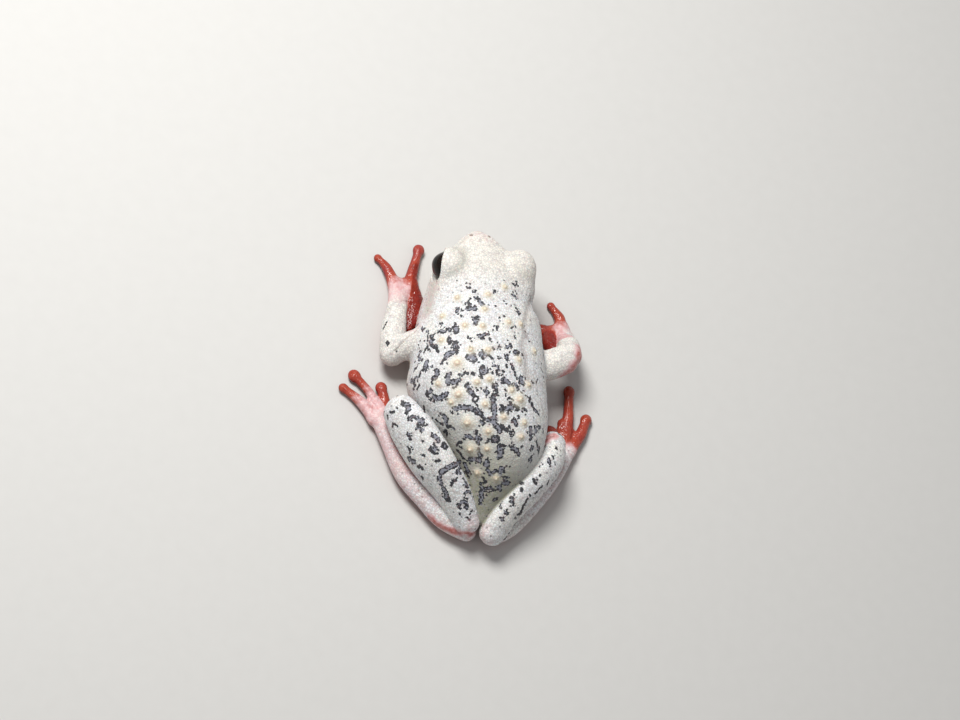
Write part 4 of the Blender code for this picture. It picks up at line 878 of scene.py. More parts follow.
class Skin:
    """The skin's points, with what each of them carries."""

    def __init__(self, points, quads):
        self.points, self.quads = points, quads
        self.tree = BVHTree.FromPolygons(points.tolist(), quads.tolist())
        self.normals = mesh_normals(points, quads)
        self.order = np.argsort(points[:, 0])
        self.sorted_x = points[self.order, 0]
        self.rise = np.zeros(len(points))

    def near(self, low, high):
        """The numbers of the points inside a box."""
        start, stop = np.searchsorted(self.sorted_x, (low[0], high[0]))
        some = self.order[start:stop]
        spots = self.points[some]
        return some[((spots >= low) & (spots <= high)).all(1)]

    def seen_at(self, pixel):
        """Where the line of sight through a pixel of the photograph meets the skin."""
        right, up, back, eye = camera_lines()
        aside = (pixel[0] - PHOTO_WIDE / 2) / PHOTO_WIDE * SENSOR / LENS
        above = (PHOTO_HIGH / 2 - pixel[1]) / PHOTO_WIDE * SENSOR / LENS
        return self.tree.ray_cast(Vector(eye), Vector(right * aside + up * above - back))[0]

    def seen_path(self, pixels, step=3):
        """The places on the skin of a path in pixels, with more between its points."""
        spots = []
        for a, b in zip(pixels, pixels[1:]):
            pieces = max(1, math.ceil(math.dist(a, b) / step))
            for i in range(pieces):
                spots.append((a[0] + (b[0] - a[0]) * i / pieces, a[1] + (b[1] - a[1]) * i / pieces))
        places = [self.seen_at(spot) for spot in [*spots, pixels[-1]]]
        return [np.array(place) for place in places if place is not None]

    def from_path(self, path, reach, out=None, wobble=None, width=0.0):
        """How far each point is from a path, less its half width, up to reach mm."""
        out = np.full(len(self.points), reach) if out is None else out
        for a, b in zip(path, path[1:] if len(path) > 1 else path):
            far = width + reach
            some = self.near(np.minimum(a, b) - far, np.maximum(a, b) + far)
            spots = self.points[some] if wobble is None else self.points[some] + wobble[some]
            way = b - a
            share = np.clip((spots - a) @ way / max(way @ way, 1e-9), 0, 1)
            gap = np.linalg.norm(spots - a - share[:, None] * way, axis=1) - width
            out[some] = np.minimum(out[some], gap)
        return out

    def from_form(self, form, reach=1.2):
        """How far each point is from a form, where it is near it."""
        low, high, distance = form
        some = self.near(np.array(low) - reach, np.array(high) + reach)
        out = np.full(len(self.points), FAR)
        if len(some):
            out[some] = distance(*self.points[some].T)
        return out


def noise_at(points, size, offset=0.0):
    """Smooth noise from about -1 to 1, its lumps size mm across."""
    return np.array([noise.noise(p) for p in (points / size + offset).tolist()])


def step_between(low, high, value):
    """0 at low, 1 at high, smooth between."""
    share = np.clip((value - low) / (high - low), 0, 1)
    return share * share * (3 - 2 * share)


def marks_from(skin, lists, wobble, more=()):
    """How far each point of the skin lies outside the nearest mark of some lists."""
    out = np.full(len(skin.points), MARK_REACH)
    for strokes in lists.values():
        for width, pixels in read_strokes(strokes):
            path = skin.seen_path(pixels)
            if path:
                skin.from_path(path, MARK_REACH, out, wobble, width * PIXEL)
    for width, path in more:
        skin.from_path(path, MARK_REACH, out, wobble, width)
    return out


def hidden_marks(skin):
    """Marks on the flank and shanks that the photograph doesn't show: clouds and dots strewn alike."""
    draw = np.random.default_rng(STREWN_SEED)
    _, _, back, _ = camera_lines()
    facing = skin.normals @ back
    x, y, z = skin.points.T
    on_arms = (np.abs(x - HEAD_X) > 7.4) & (y > -1)
    open_skin = (facing < 0.1) & (skin.normals[:, 2] > -0.25) & (z > 2.2) & (y < 7.5) & ~on_arms
    pale = (skin.bare > 0.9) & open_skin
    spots, clouds, taken = [], [], []
    for i in draw.permutation(np.flatnonzero(pale))[:STREWN_TRIES]:
        place, out = skin.points[i], skin.normals[i]
        gap = draw.choice(STREWN_GAPS)
        if any(np.linalg.norm(place - other) < gap for other in taken):
            continue
        taken.append(place)
        across = unit(np.cross(out, draw.normal(size=3)))
        if draw.random() < STREWN_CLOUDS:
            end = place + across * draw.uniform(*CLOUD_LONG)
            clouds.append((draw.uniform(*CLOUD_HALF), [place, end]))
            for _ in range(draw.integers(*RIM_DOTS)):
                spots.append((draw.uniform(*RIM_DOT_HALF), [place + across * draw.uniform(-0.2, 0.8)]))
        else:
            spots.append((draw.uniform(*DOT_HALF), [place, place + across * draw.uniform(*DOT_LONG)]))
    return spots, clouds


def share_of(inside, outside, soft):
    """1 on skin nearer to one form than another, 0 on the other, and a seam soft mm wide."""
    return step_between(-soft / 2, soft / 2, outside - inside) * (inside < 1.1)


def share_along(skin, stations):
    """How far along a limb each point lies: 0 at its first station and 1 at its last."""
    first, last = np.array(stations[0][:3]), np.array(stations[-1][:3])
    way = last - first
    return (skin.points - first) @ way / (way @ way)


def digit_zone(skin, limb):
    """How far each point is from the nearest digit, and how red that digit is there."""
    nearest, redness = np.full(len(skin.points), FAR), np.zeros(len(skin.points))
    for stations, start in zip(limb["digits"], limb["red_from"]):
        gap = skin.from_form(tube_form(stations))
        share = share_along(skin, stations)
        closer = gap < nearest
        nearest = np.where(closer, gap, nearest)
        redness = np.where(closer, step_between(start - 0.22, start + 0.32, share), redness)
    return nearest, redness


def flush_skin(skin):
    """How red the skin is, from 0, white, to 1 and over: digits, palms and soles, and what folds hide."""
    flush = np.zeros(len(skin.points))
    trunk = skin.from_form(trunk_form())
    under = step_between(-0.15, -0.7, skin.normals[:, 2])
    # Painted shade: skin that turns to the side is flushed a deeper red than the tops of the digits, palms
    # and soles, so their tops stay paler as a painted highlight
    side_shade = step_between(0.8, 0.1, skin.normals[:, 2])

    def gap_to(limb, part, broad=FLAT_ON_FLOOR):
        return skin.from_form(tube_form(limb[part], broad))

    for side, _ in SIDES:
        arm, leg = ARMS[side], LEGS[side]
        palm, inner = gap_to(arm, "palm"), gap_to(arm, "inner")
        bare = np.minimum(gap_to(arm, "fore"), gap_to(arm, "upper", UPPER_ARM_BROAD))
        digits, red = digit_zone(skin, arm)
        hand = np.minimum(np.minimum(palm, digits), inner)
        arm_skin = share_of(np.minimum(hand, bare), trunk, 0.3)
        along = share_along(skin, arm["palm"])
        fingers = share_of(digits, palm, 1.4)
        tone = PALM_FLUSH * (0.3 + 0.7 * step_between(-0.2, 0.9, along)) + 0.1 * side_shade
        tone += (FINGER_FLUSH - PALM_FLUSH + 0.25 * side_shade) * fingers * red
        hidden = share_of(inner, np.minimum(palm, digits), INNER_SOFT[side])
        tone = np.maximum(tone, INNER_FLUSH * hidden)
        tone *= share_of(hand, bare, 0.12)
        flush = np.maximum(flush, arm_skin * np.maximum(tone, under * UNDER_FLUSH))

        thigh, shank = gap_to(leg, "thigh"), gap_to(leg, "shank", leg["broad"])
        tarsus = gap_to(leg, "tarsus")
        digits, red = digit_zone(skin, leg)
        foot = np.minimum(tarsus, digits)
        leg_skin = share_of(np.minimum(np.minimum(foot, shank), thigh), trunk, 0.25)
        along = share_along(skin, leg["tarsus"])
        toes = share_of(digits, tarsus, 1.2)
        sole = SOLE_FLUSH[side]
        tone = sole * (0.35 + 0.65 * step_between(0.1, 0.9, along)) + 0.07 * side_shade
        tone += toes * (TOE_FLUSH - sole + (TOE_RED + 0.25 * side_shade) * red)
        tone *= share_of(foot, np.minimum(shank, thigh), 0.12)
        tone = np.maximum(tone, share_of(thigh, np.minimum(shank, foot), 0.12))
        flush = np.maximum(flush, leg_skin * np.maximum(tone, under * UNDER_FLUSH))
    for width, soft, strength, pixels in FLUSHED.values():
        gap = skin.from_path(skin.seen_path(read_places(pixels)), soft, width=width)
        flush = np.maximum(flush, strength * step_between(soft, 0, gap))
    return flush


def swelling(gap, half):
    """1 on a line or a place, fading out over about twice half mm."""
    return np.exp(-((gap / half) ** 2))


def raise_warts(skin):
    """The warts. Returns how much each point belongs to a wart's mound, and to its tip."""
    mounds, tips = np.zeros(len(skin.points)), np.zeros(len(skin.points))
    for places, (wide, high, tip_wide, tip_high) in ((WARTS, COMMON_WART), (LARGE_WARTS, LARGE_WART)):
        for pixel in read_places(places):
            spot = skin.seen_at(pixel)
            if spot is None:
                continue
            gap = skin.from_path([np.array(spot)], 1.5 * wide)
            mound = step_between(1.1 * wide, 0.15 * wide, gap)
            tip = np.clip(1 - gap / (1.7 * tip_wide), 0, 1)
            skin.rise += high * mound + tip_high * (0.5 * tip * tip + 0.5 * step_between(0.2, 1, tip))
            mounds = np.maximum(mounds, step_between(1.25 * wide, 0.5 * wide, gap))
            tips = np.maximum(tips, tip)
    return mounds, tips


def press_folds(skin):
    """The folds: a soft groove. Returns 1 in a groove and 0 away from it."""
    grooves = np.zeros(len(skin.points))
    for width, depth, pixels in FOLDS.values():
        gap = skin.from_path(skin.seen_path(read_places(pixels)), 5 * width)
        skin.rise -= depth * swelling(gap, width)
        # The returned grooves are darkened by the skin's material as painted shade
        grooves = np.maximum(grooves, swelling(gap, width) * min(1, depth / DEEP_FOLD))
    return grooves


def draw_face(skin):
    """The line of the mouth, the nostrils' rims, the ridge from eye to nostril and the ear's faint ring."""
    x, y, z = skin.points.T
    height = np.interp(y, (MOUTH_END_Y, SNOUT[1]), MOUTH_HEIGHTS)
    sideways = step_between(0.95, 0.6, np.abs(skin.normals[:, 2]))
    present = step_between(MOUTH_END_Y - 0.3, MOUTH_END_Y + 0.7, y) * sideways
    gap = z - height
    lips = present * swelling(gap, LIP_HALF)
    pits = np.zeros(len(skin.points))
    skin.rise -= LIP_DEEP * lips
    skin.rise += 0.05 * present * swelling(gap - 0.3, 0.18)
    for _, sign in SIDES:
        over = Vector((SNOUT_X + sign * NOSTRIL_OUT, NOSTRIL_Y, CLAY_HIGH[2]))
        nostril = np.array(skin.tree.ray_cast(over, Vector((0, 0, -1)))[0])
        ring = skin.from_path([nostril], 1.0)
        skin.rise += 0.05 * swelling(ring - 0.32, 0.12) - NOSTRIL_DEEP * step_between(0.24, 0.08, ring)
        pits = np.maximum(pits, step_between(0.3, 0.15, ring))
        ridge = skin.from_path([mirrored(CANTHUS_START, sign), nostril], 1.2)
        skin.rise += CANTHUS_HIGH * swelling(ridge, CANTHUS_HALF)
        ear = skin.from_path([mirrored(EAR, sign)], 1.2)
        skin.rise -= EAR_DEEP * swelling(ear - EAR_RADIUS, 0.1)
    # The returned lips and pits are darkened by the skin's material as painted shade
    return FACE_SHADE * np.maximum(lips, PIT_SHADE * pits)


def make_skin():
    clay = shape_skin()
    points, quads = surface_of(clay)
    points, quads = largest_piece(points, quads)
    links = neighbours(quads, len(points))
    for _ in range(2):
        points = relax(points, links, 2)
        depth, slope = clay.at(points)
        steep = np.maximum((slope**2).sum(1), 0.25)
        points = points - np.clip(depth / steep, -GRAIN, GRAIN)[:, None] * slope
    return clay, points, quads


def dress_skin(points, quads):
    """Raise the warts, folds and grains of the skin, and work out what its material paints."""
    skin = Skin(points, quads)
    flush = flush_skin(skin)
    skin.bare = 1 - flush
    wobble = np.stack([noise_at(points, WOBBLE_SIZE, offset) for offset in (0, 17, 41)], 1) * WOBBLE
    mounds, tips = raise_warts(skin)
    grooves = np.maximum(press_folds(skin), draw_face(skin))
    spots, clouds = hidden_marks(skin)
    trunk = skin.from_form(trunk_form())
    arm_parts = [ARMS[side][part] for side, _ in SIDES for part in ("upper", "fore")]
    arms = np.max([share_of(skin.from_form(tube_form(part)), trunk, 0.8) for part in arm_parts], 0)
    x, y, _ = points.T
    # Painted shade: olive-grey laid into the white, darker towards the rear and right of the trunk where the
    # back slopes away from the light, and in the hollows beside the brows, on the left temple and along the
    # snout's left edge
    painted_shade = step_between(-4.5, -12.5, y + 0.35 * x) * step_between(0.6, 0.2, trunk)
    painted_shade = np.maximum(painted_shade, 0.3 * step_between(-5, -13, y) * step_between(0.6, 0.2, trunk))
    for reach, strength, pixels in PAINTED_SHADES.values():
        gap = skin.from_path(skin.seen_path(read_places(pixels)), reach)
        painted_shade = np.maximum(painted_shade, strength * step_between(reach, 0, gap))
    carried = {
        "spot": marks_from(skin, SPOTS, wobble * 0.5, spots),
        "cloud": marks_from(skin, BLOTCHES, wobble, clouds) - CLOUD_SPREAD,
        "faint": marks_from(skin, FAINT_MARKS, wobble),
        "flush": flush,
        "wart": mounds,
        "tip": tips,
        "groove": grooves,
        "belly": step_between(0.15, -0.35, skin.normals[:, 2]) * (trunk < 0.5),
        "painted_shade": painted_shade,
        "cream": np.maximum(step_between(6.3, 12.2, points[:, 1]), 0.8 * arms),
    }
    grains = noise_at(points, GRANULE) + 0.6 * noise_at(points, GRANULE * 0.55, 9)
    skin.rise += GRANULE_HIGH * grains * (1 - 0.85 * np.minimum(flush, 1))
    return points + skin.normals * skin.rise[:, None], carried


def linear(hex_colour):
    """An sRGB hex value as linear red, green, blue and alpha."""
    parts = [int(hex_colour[i : i + 2], 16) / 255 for i in (0, 2, 4)]
    return (*(p / 12.92 if p <= 0.04045 else ((p + 0.055) / 1.055) ** 2.4 for p in parts), 1.0)


def material(name):
    made = bpy.data.materials.new(name)
    made.use_nodes = True
    tree = made.node_tree
    return made, tree, tree.nodes["Principled BSDF"]


def add(tree, kind, inputs=None, **settings):
    """Add a node with its settings, and set or link its inputs. A hex value stands for its colour."""
    node = tree.nodes.new(kind)
    for name, value in settings.items():
        setattr(node, name, value)
    for name, value in (inputs or {}).items():
        if isinstance(value, bpy.types.NodeSocket):
            tree.links.new(value, node.inputs[name])
        else:
            node.inputs[name].default_value = linear(value) if isinstance(value, str) else value
    return node


def per_metre(size):
    """The texture scale at which a pattern repeats every size mm."""
    return 1 / (size * MM)


def frog_skin():
    """Dry-season reed frog skin: chalky white and matt over crystals that scatter light, with grey
    clouds and near-black dots in it. Where it is red it is thin, moist and smoother, so it shines."""
    made, tree, shader = material("frog skin")
    place = add(tree, "ShaderNodeTexCoord").outputs["Object"]
    carried = {
        name: add(tree, "ShaderNodeAttribute", attribute_name=name).outputs["Fac"]
        for name in ("spot", "cloud", "faint", "flush", "wart", "tip", "groove", "belly", "cream", "painted_shade")
    }

    # The white ground: neutral on the back, creamy on head and arms, finely mottled and grained
    patches = add(tree, "ShaderNodeTexNoise", {"Vector": place, "Scale": per_metre(PATCH), "Detail": 3.0})
    fine = add(tree, "ShaderNodeTexNoise", {"Vector": place, "Scale": per_metre(MOTTLE), "Detail": 4.0})
    pebbles = add(tree, "ShaderNodeTexVoronoi", {"Vector": place, "Scale": per_metre(PEBBLE)},
                  feature="DISTANCE_TO_EDGE")
    warm = add(tree, "ShaderNodeMapRange", {0: patches.outputs["Fac"], 1: 0.42, 2: 0.66})
    layers = []  # amounts and colours, laid over the white ground in turn
    colour = add(tree, "ShaderNodeMix", {0: warm.outputs[0], 6: "E7E8EB", 7: "EDECE8"}, data_type="RGBA")
    layers.append((carried["cream"], "E9E4DC"))
    layers.append((carried["belly"], "E6DDCF"))
    # Painted shade in olive-grey at the rear and right of the trunk and in the head's hollows
    layers.append((carried["painted_shade"], "A2A18C"))
    grit = add(tree, "ShaderNodeMapRange", {0: fine.outputs["Fac"], 1: 0.48, 2: 0.66, 4: 0.55})
    layers.append((grit.outputs[0], "B4B3B3"))
    seams = add(tree, "ShaderNodeMapRange", {0: pebbles.outputs["Distance"], 1: 0.13, 2: 0.02, 4: 0.6})
    layers.append((seams.outputs[0], "A6A5A4"))

    # The clouds: mid grey with a violet cast. Near-black beads crowd along their rims.
    clear = add(tree, "ShaderNodeMapRange", {0: carried["wart"], 1: 0.8, 2: 1.0, 3: 1.0, 4: 0.0})
    pale = add(tree, "ShaderNodeMapRange", {0: carried["flush"], 1: 0.1, 2: 0.3, 3: 1.0, 4: 0.0})
    bare = add(tree, "ShaderNodeMath", {0: clear.outputs[0], 1: pale.outputs[0]},
               operation="MULTIPLY").outputs[0]
    beads = add(tree, "ShaderNodeTexVoronoi", {"Vector": place, "Scale": per_metre(BEAD), "Randomness": 0.9})
    far = beads.outputs["Distance"]
    ragged = add(tree, "ShaderNodeMath", {0: fine.outputs["Fac"], 1: 0.3, 2: -0.31},
                 operation="MULTIPLY_ADD")
    scallop = add(tree, "ShaderNodeMath", {0: far, 1: 0.3, 2: ragged.outputs[0]}, operation="MULTIPLY_ADD")
    cloud = add(tree, "ShaderNodeMath", {0: carried["cloud"], 1: scallop.outputs[0]},
                operation="ADD").outputs[0]
    inside = add(tree, "ShaderNodeMapRange", {0: cloud, 1: 0.03, 2: -0.02, 4: 0.94})
    inside = add(tree, "ShaderNodeMath", {0: inside.outputs[0], 1: bare}, operation="MULTIPLY")
    hue = add(tree, "ShaderNodeMix", {0: patches.outputs["Fac"], 6: "74778A", 7: "93939A"}, data_type="RGBA")
    hue = add(tree, "ShaderNodeMix", {0: grit.outputs[0], 6: hue.outputs[2], 7: "5C5C63"}, data_type="RGBA")
    layers.append((inside.outputs[0], hue.outputs[2]))
    rim = add(tree, "ShaderNodeMapRange", {0: cloud, 1: -0.17, 2: -0.04, 4: 0.33})
    crowded = add(tree, "ShaderNodeMath", {0: far, 1: rim.outputs[0]}, operation="SUBTRACT")
    bead = add(tree, "ShaderNodeMapRange", {0: crowded.outputs[0], 1: 0.42, 2: 0.33, 4: 0.97})
    bead = add(tree, "ShaderNodeMath", {0: bead.outputs[0], 1: inside.outputs[0]}, operation="MULTIPLY")
    layers.append((bead.outputs[0], "1D1D22"))

    # Faint smudges, stray specks, then the near-black dots
    smudge = add(tree, "ShaderNodeMapRange", {0: carried["faint"], 1: 0.06, 2: -0.12, 4: 0.45})
    smudge = add(tree, "ShaderNodeMath", {0: smudge.outputs[0], 1: bare}, operation="MULTIPLY")
    layers.append((smudge.outputs[0], "83838B"))
    stray = add(tree, "ShaderNodeTexVoronoi", {"Vector": place, "Scale": per_metre(SPECK)})
    lot = add(tree, "ShaderNodeSeparateColor", {0: stray.outputs["Color"]})
    few = add(tree, "ShaderNodeMath", {0: lot.outputs[0], 1: 0.2}, operation="LESS_THAN")
    speck = add(tree, "ShaderNodeMapRange", {0: stray.outputs["Distance"], 1: 0.34, 2: 0.2, 4: 0.7})
    speck = add(tree, "ShaderNodeMath", {0: speck.outputs[0], 1: few.outputs[0]}, operation="MULTIPLY")
    open_back = add(tree, "ShaderNodeMath", {0: bare, 1: carried["cream"]},
                    operation="SUBTRACT", use_clamp=True)
    speck = add(tree, "ShaderNodeMath", {0: speck.outputs[0], 1: open_back.outputs[0]}, operation="MULTIPLY")
    layers.append((speck.outputs[0], "55555B"))
    grains = add(tree, "ShaderNodeTexVoronoi", {"Vector": place, "Scale": per_metre(DOT_GRAIN)})
    lumpy = add(tree, "ShaderNodeMath", {0: grains.outputs["Distance"], 1: 0.2, 2: carried["spot"]},
                operation="MULTIPLY_ADD")
    dot = add(tree, "ShaderNodeMapRange", {0: lumpy.outputs[0], 1: 0.165, 2: 0.115})
    dot = add(tree, "ShaderNodeMath", {0: dot.outputs[0], 1: pale.outputs[0]}, operation="MULTIPLY")
    ink = add(tree, "ShaderNodeMix", {0: grains.outputs["Distance"], 6: "19191C", 7: "4A4A50"},
              data_type="RGBA")
    layers.append((dot.outputs[0], ink.outputs[2]))

    # The warts: a cleared greenish-cream mound; round the tip a tan or pinkish ring, partly the wart's own
    # colour and partly painted shade, and a yellow-white peak, partly its own pale colour and partly a
    # painted highlight
    mound = add(tree, "ShaderNodeMath", {0: carried["wart"], 1: 0.5}, operation="MULTIPLY")
    layers.append((mound.outputs[0], "DCD4BF"))
    tan_and_shade = add(tree, "ShaderNodeMapRange", {0: carried["tip"], 1: 0.03, 2: 0.42, 4: 0.7})
    peachy = add(tree, "ShaderNodeMix", {0: patches.outputs["Fac"], 6: "C4BF9F", 7: "CFAE9E"},
                 data_type="RGBA")
    layers.append((tan_and_shade.outputs[0], peachy.outputs[2]))
    peak_and_highlight = add(tree, "ShaderNodeMapRange", {0: carried["tip"], 1: 0.55, 2: 0.85, 4: 0.9})
    layers.append((peak_and_highlight.outputs[0], "ECE5CF"))

    # The flush: pink where it begins, then orange-red, then deep red where the skin is usually hidden
    stir = add(tree, "ShaderNodeMath", {0: fine.outputs["Fac"], 1: 0.4, 2: -0.2}, operation="MULTIPLY_ADD")
    stir = add(tree, "ShaderNodeMath", {0: stir.outputs[0], 1: carried["flush"]}, operation="ADD").outputs[0]
    pinkness = add(tree, "ShaderNodeMapRange", {0: stir, 1: 0.03, 2: 0.34})
    layers.append((pinkness.outputs[0], "D8AEB0"))
    rose = add(tree, "ShaderNodeMapRange", {0: stir, 1: 0.32, 2: 0.56})
    layers.append((rose.outputs[0], "B0503F"))
    redness = add(tree, "ShaderNodeMapRange", {0: stir, 1: 0.54, 2: 0.78})
    red = add(tree, "ShaderNodeMix", {0: warm.outputs[0], 6: "9C3520", 7: "902F32"}, data_type="RGBA")
    layers.append((redness.outputs[0], red.outputs[2]))
    depth = add(tree, "ShaderNodeMapRange", {0: stir, 1: 0.86, 2: 1.1})
    layers.append((depth.outputs[0], "76211A"))
    # Painted shade: creases, folds, the line of the mouth and the nostril pits darkened to a brownish grey
    painted_crease_shade = add(tree, "ShaderNodeMath", {0: carried["groove"], 1: 0.4}, operation="MULTIPLY")
    layers.append((painted_crease_shade.outputs[0], "86756D"))
    for amount, tone in layers:
        colour = add(tree, "ShaderNodeMix", {0: amount, 6: colour.outputs[2], 7: tone}, data_type="RGBA")
    tree.links.new(colour.outputs[2], shader.inputs["Base Color"])

    matt = add(tree, "ShaderNodeMapRange", {0: fine.outputs["Fac"], 1: 0.3, 2: 0.7, 3: 0.5, 4: 0.62})
    moist = add(tree, "ShaderNodeMix", {0: pinkness.outputs[0], 2: matt.outputs[0], 3: 0.33})
    rough = add(tree, "ShaderNodeMix", {0: rose.outputs[0], 2: moist.outputs[0], 3: 0.16})
    tree.links.new(rough.outputs[0], shader.inputs["Roughness"])
    domes = add(tree, "ShaderNodeMapRange", {0: pebbles.outputs["Distance"], 1: 0.0, 2: 0.3},
                interpolation_type="SMOOTHSTEP")
    relief = add(tree, "ShaderNodeMath", {0: fine.outputs["Fac"], 1: domes.outputs[0]}, operation="ADD")
    wrinkles = add(tree, "ShaderNodeTexNoise", {"Vector": place, "Scale": per_metre(WRINKLE), "Detail": 1.5})
    creased = add(tree, "ShaderNodeMath", {0: pinkness.outputs[0], 1: 1.9}, operation="MULTIPLY")
    relief = add(tree, "ShaderNodeMath",
                 {0: wrinkles.outputs["Fac"], 1: creased.outputs[0], 2: relief.outputs[0]},
                 operation="MULTIPLY_ADD")
    bump = add(tree, "ShaderNodeBump",
               {"Height": relief.outputs[0], "Strength": 0.6, "Distance": PEBBLE_HIGH * MM})
    tree.links.new(bump.outputs[0], shader.inputs["Normal"])
    shader.inputs["IOR"].default_value = 1.42
    shader.inputs["Subsurface Weight"].default_value = 0.12
    shader.inputs["Subsurface Radius"].default_value = (1.0, 0.45, 0.3)
    shader.inputs["Subsurface Scale"].default_value = 0.35 * MM
    return made


def origin_shift():
    """From the frame above to the row's frame, in mm, read at the left eye's solid."""
    low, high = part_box("eye_left")
    middle = (np.array(low) + np.array(high)) / 2 / MM
    return middle - mirrored((EYE_OUT, EYE_Y, EYE_Z), -1)


SHIFT = origin_shift()


def living_eye():
    """A wet eyeball: a near-black brown iris with a level pupil, under a clear cornea that mirrors light."""
    made, tree, shader = material("wet eyeball")
    place = add(tree, "ShaderNodeTexCoord").outputs["Object"]
    apart = add(tree, "ShaderNodeSeparateXYZ", {0: place})
    across = add(tree, "ShaderNodeMath", {0: apart.outputs["X"], 1: 1 / (PUPIL[0] * MM)},
                 operation="MULTIPLY")
    upward = add(tree, "ShaderNodeMath", {0: apart.outputs["Y"], 1: 1 / (PUPIL[1] * MM)},
                 operation="MULTIPLY")
    oval = add(tree, "ShaderNodeCombineXYZ", {0: across.outputs[0], 1: upward.outputs[0]})
    pupil = add(tree, "ShaderNodeVectorMath", {0: oval.outputs[0]}, operation="LENGTH")
    round_part = add(tree, "ShaderNodeCombineXYZ", {0: apart.outputs["X"], 1: apart.outputs["Y"]})
    radius = add(tree, "ShaderNodeVectorMath", {0: round_part.outputs[0]}, operation="LENGTH")
    flecks = add(tree, "ShaderNodeTexNoise",
                 {"Vector": place, "Scale": per_metre(IRIS_FLECK), "Detail": 3.0})
    gold = add(tree, "ShaderNodeMapRange", {0: flecks.outputs["Fac"], 1: 0.45, 2: 0.7})
    # The iris's own dark brown is darkened to near-black: painted shade over the eye
    iris = add(tree, "ShaderNodeMix", {0: gold.outputs[0], 6: "13100F", 7: "2B1E15"}, data_type="RGBA")
    edge = add(tree, "ShaderNodeMapRange", {0: radius.outputs["Value"], 1: IRIS * 0.86 * MM, 2: IRIS * MM})
    colour = add(tree, "ShaderNodeMix", {0: edge.outputs[0], 6: iris.outputs[2], 7: "120D0B"},
                 data_type="RGBA")
    hole = add(tree, "ShaderNodeMapRange", {0: pupil.outputs["Value"], 1: 1.06, 2: 0.94})
    colour = add(tree, "ShaderNodeMix", {0: hole.outputs[0], 6: colour.outputs[2], 7: "050404"},
                 data_type="RGBA")
    tree.links.new(colour.outputs[2], shader.inputs["Base Color"])
    veil = add(tree, "ShaderNodeMapRange", {0: flecks.outputs["Fac"], 1: 0.3, 2: 0.7, 3: 0.2, 4: 0.3})
    tree.links.new(veil.outputs[0], shader.inputs["Roughness"])
    shader.inputs["IOR"].default_value = 1.15
    shader.inputs["Coat Weight"].default_value = 0.6
    shader.inputs["Coat IOR"].default_value = 1.34
    shader.inputs["Coat Roughness"].default_value = 0.03
    return made


def make_eye(side, sign, finish):
    """An eyeball that bulges a little at its cornea, turned so that its own Z is the way it looks."""
    shape = bmesh.new()
    bmesh.ops.create_uvsphere(shape, u_segments=96, v_segments=64, radius=EYE_RADIUS * MM)
    for point in shape.verts:
        off_axis = math.acos(max(-1.0, min(1.0, point.co.normalized().z)))
        point.co.z *= EYE_DEPTHS[side] if point.co.z > 0 else 1
        point.co *= 1 + CORNEA * math.exp(-((off_axis / 0.55) ** 4))
    for face in shape.faces:
        face.smooth = True
    mesh = bpy.data.meshes.new(f"eyeball_{side}")
    shape.to_mesh(mesh)
    shape.free()
    mesh.materials.append(finish)
    eye = bpy.data.objects.new(mesh.name, mesh)
    looks, along, up = (Vector(v) for v in eye_axes(sign))
    turn = Matrix((along, looks.cross(along), looks)).transposed()
    place = Vector((mirrored((EYE_OUT, EYE_Y, EYE_Z), sign) + SHIFT) * MM)
    eye.matrix_world = Matrix.Translation(place) @ turn.to_4x4()
    bpy.context.scene.collection.objects.link(eye)
    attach(eye, "root")
    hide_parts(f"eye_{side}")
    return eye


def make_camera():
    right, up, back, eye = camera_lines()
    data = bpy.data.cameras.new("camera")
    data.lens, data.sensor_width = LENS, SENSOR
    data.clip_start, data.clip_end = 0.01, 10
    camera = bpy.data.objects.new("camera", data)
    turn = Matrix((Vector(right), Vector(up), Vector(back))).transposed()
    camera.matrix_world = Matrix.Translation(Vector((eye + SHIFT) * MM)) @ turn.to_4x4()
    bpy.context.scene.collection.objects.link(camera)
    bpy.context.scene.camera = camera
    return camera


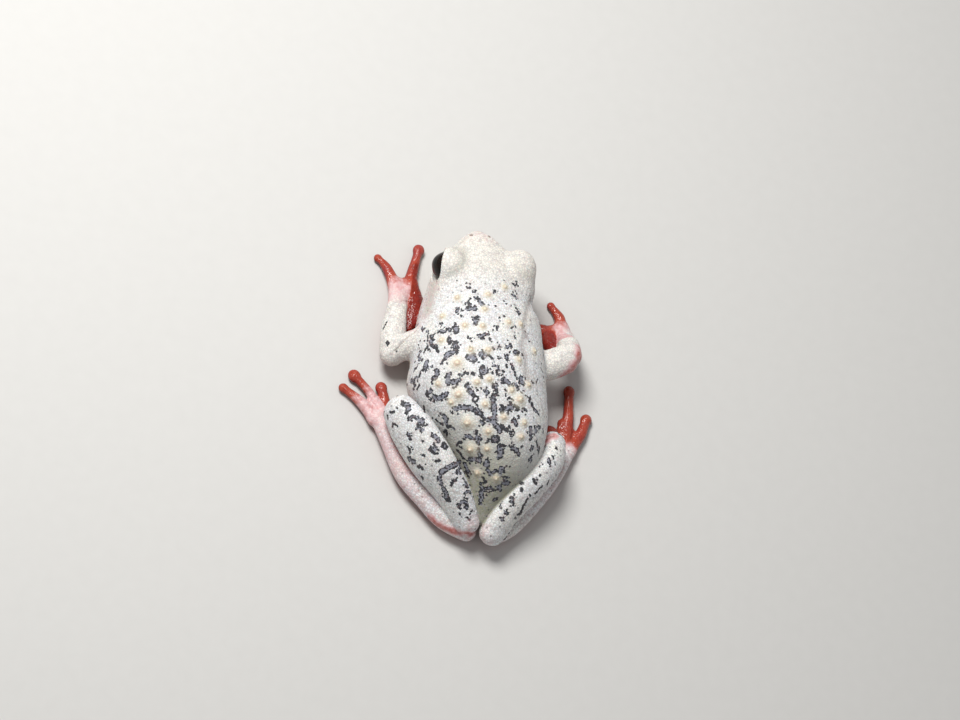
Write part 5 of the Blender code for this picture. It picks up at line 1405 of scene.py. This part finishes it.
def make_floor():
    """A board with a flat, eggshell coat of warm grey paint: even, with the roller's faint stipple."""
    bpy.ops.mesh.primitive_plane_add(size=FLOOR_WIDE, location=(0, 0, -FLOOR_DROP * MM))
    floor = bpy.context.object
    floor.name = "floor"
    made, tree, shader = material("painted board")
    place = add(tree, "ShaderNodeTexCoord").outputs["Object"]
    stipple = add(tree, "ShaderNodeTexNoise", {"Vector": place, "Scale": per_metre(STIPPLE), "Detail": 2.0})
    tone = add(tree, "ShaderNodeMix", {0: stipple.outputs["Fac"], 6: "CECDCB", 7: "D2D1CF"},
               data_type="RGBA")
    tree.links.new(tone.outputs[2], shader.inputs["Base Color"])
    bump = add(tree, "ShaderNodeBump",
               {"Height": stipple.outputs["Fac"], "Strength": 0.2, "Distance": STIPPLE_HIGH * MM})
    tree.links.new(bump.outputs[0], shader.inputs["Normal"])
    shader.inputs["Roughness"].default_value = 0.75
    floor.data.materials.append(made)


def area_light(name, place, size, power, colour):
    data = bpy.data.lights.new(name, "AREA")
    data.shape, data.size, data.energy = "DISK", size, power
    data.color = linear(colour)[:3]
    lamp = bpy.data.objects.new(name, data)
    lamp.location = place
    lamp.rotation_mode = "QUATERNION"
    lamp.rotation_quaternion = (-Vector(place)).to_track_quat("-Z", "Y")
    bpy.context.scene.collection.objects.link(lamp)


def make_light():
    """A soft key from the frog's front left, a weak fill, and pale grey all round."""
    for name, lamp in LAMPS.items():
        area_light(name, *lamp)
    world = bpy.data.worlds.new("studio")
    bpy.context.scene.world = world
    world.use_nodes = True
    world.node_tree.nodes["Background"].inputs["Color"].default_value = linear(STUDIO_GREY)
    world.node_tree.nodes["Background"].inputs["Strength"].default_value = STUDIO_STRENGTH
    bpy.context.scene.view_settings.view_transform = "Standard"


clay, points, quads = make_skin()
points, carried = dress_skin(points, quads)
skin = as_object("skin", (points + SHIFT) * MM, quads)
for name, values in carried.items():
    skin.data.attributes.new(name, "FLOAT", "POINT").data.foreach_set("value", values.astype(np.float32))
skin.data.materials.append(frog_skin())
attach(skin, "root")
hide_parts(*[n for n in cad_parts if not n.startswith("eye")])
finish = living_eye()
for side, sign in SIDES:
    make_eye(side, sign, finish)
make_camera()
make_floor()
make_light()
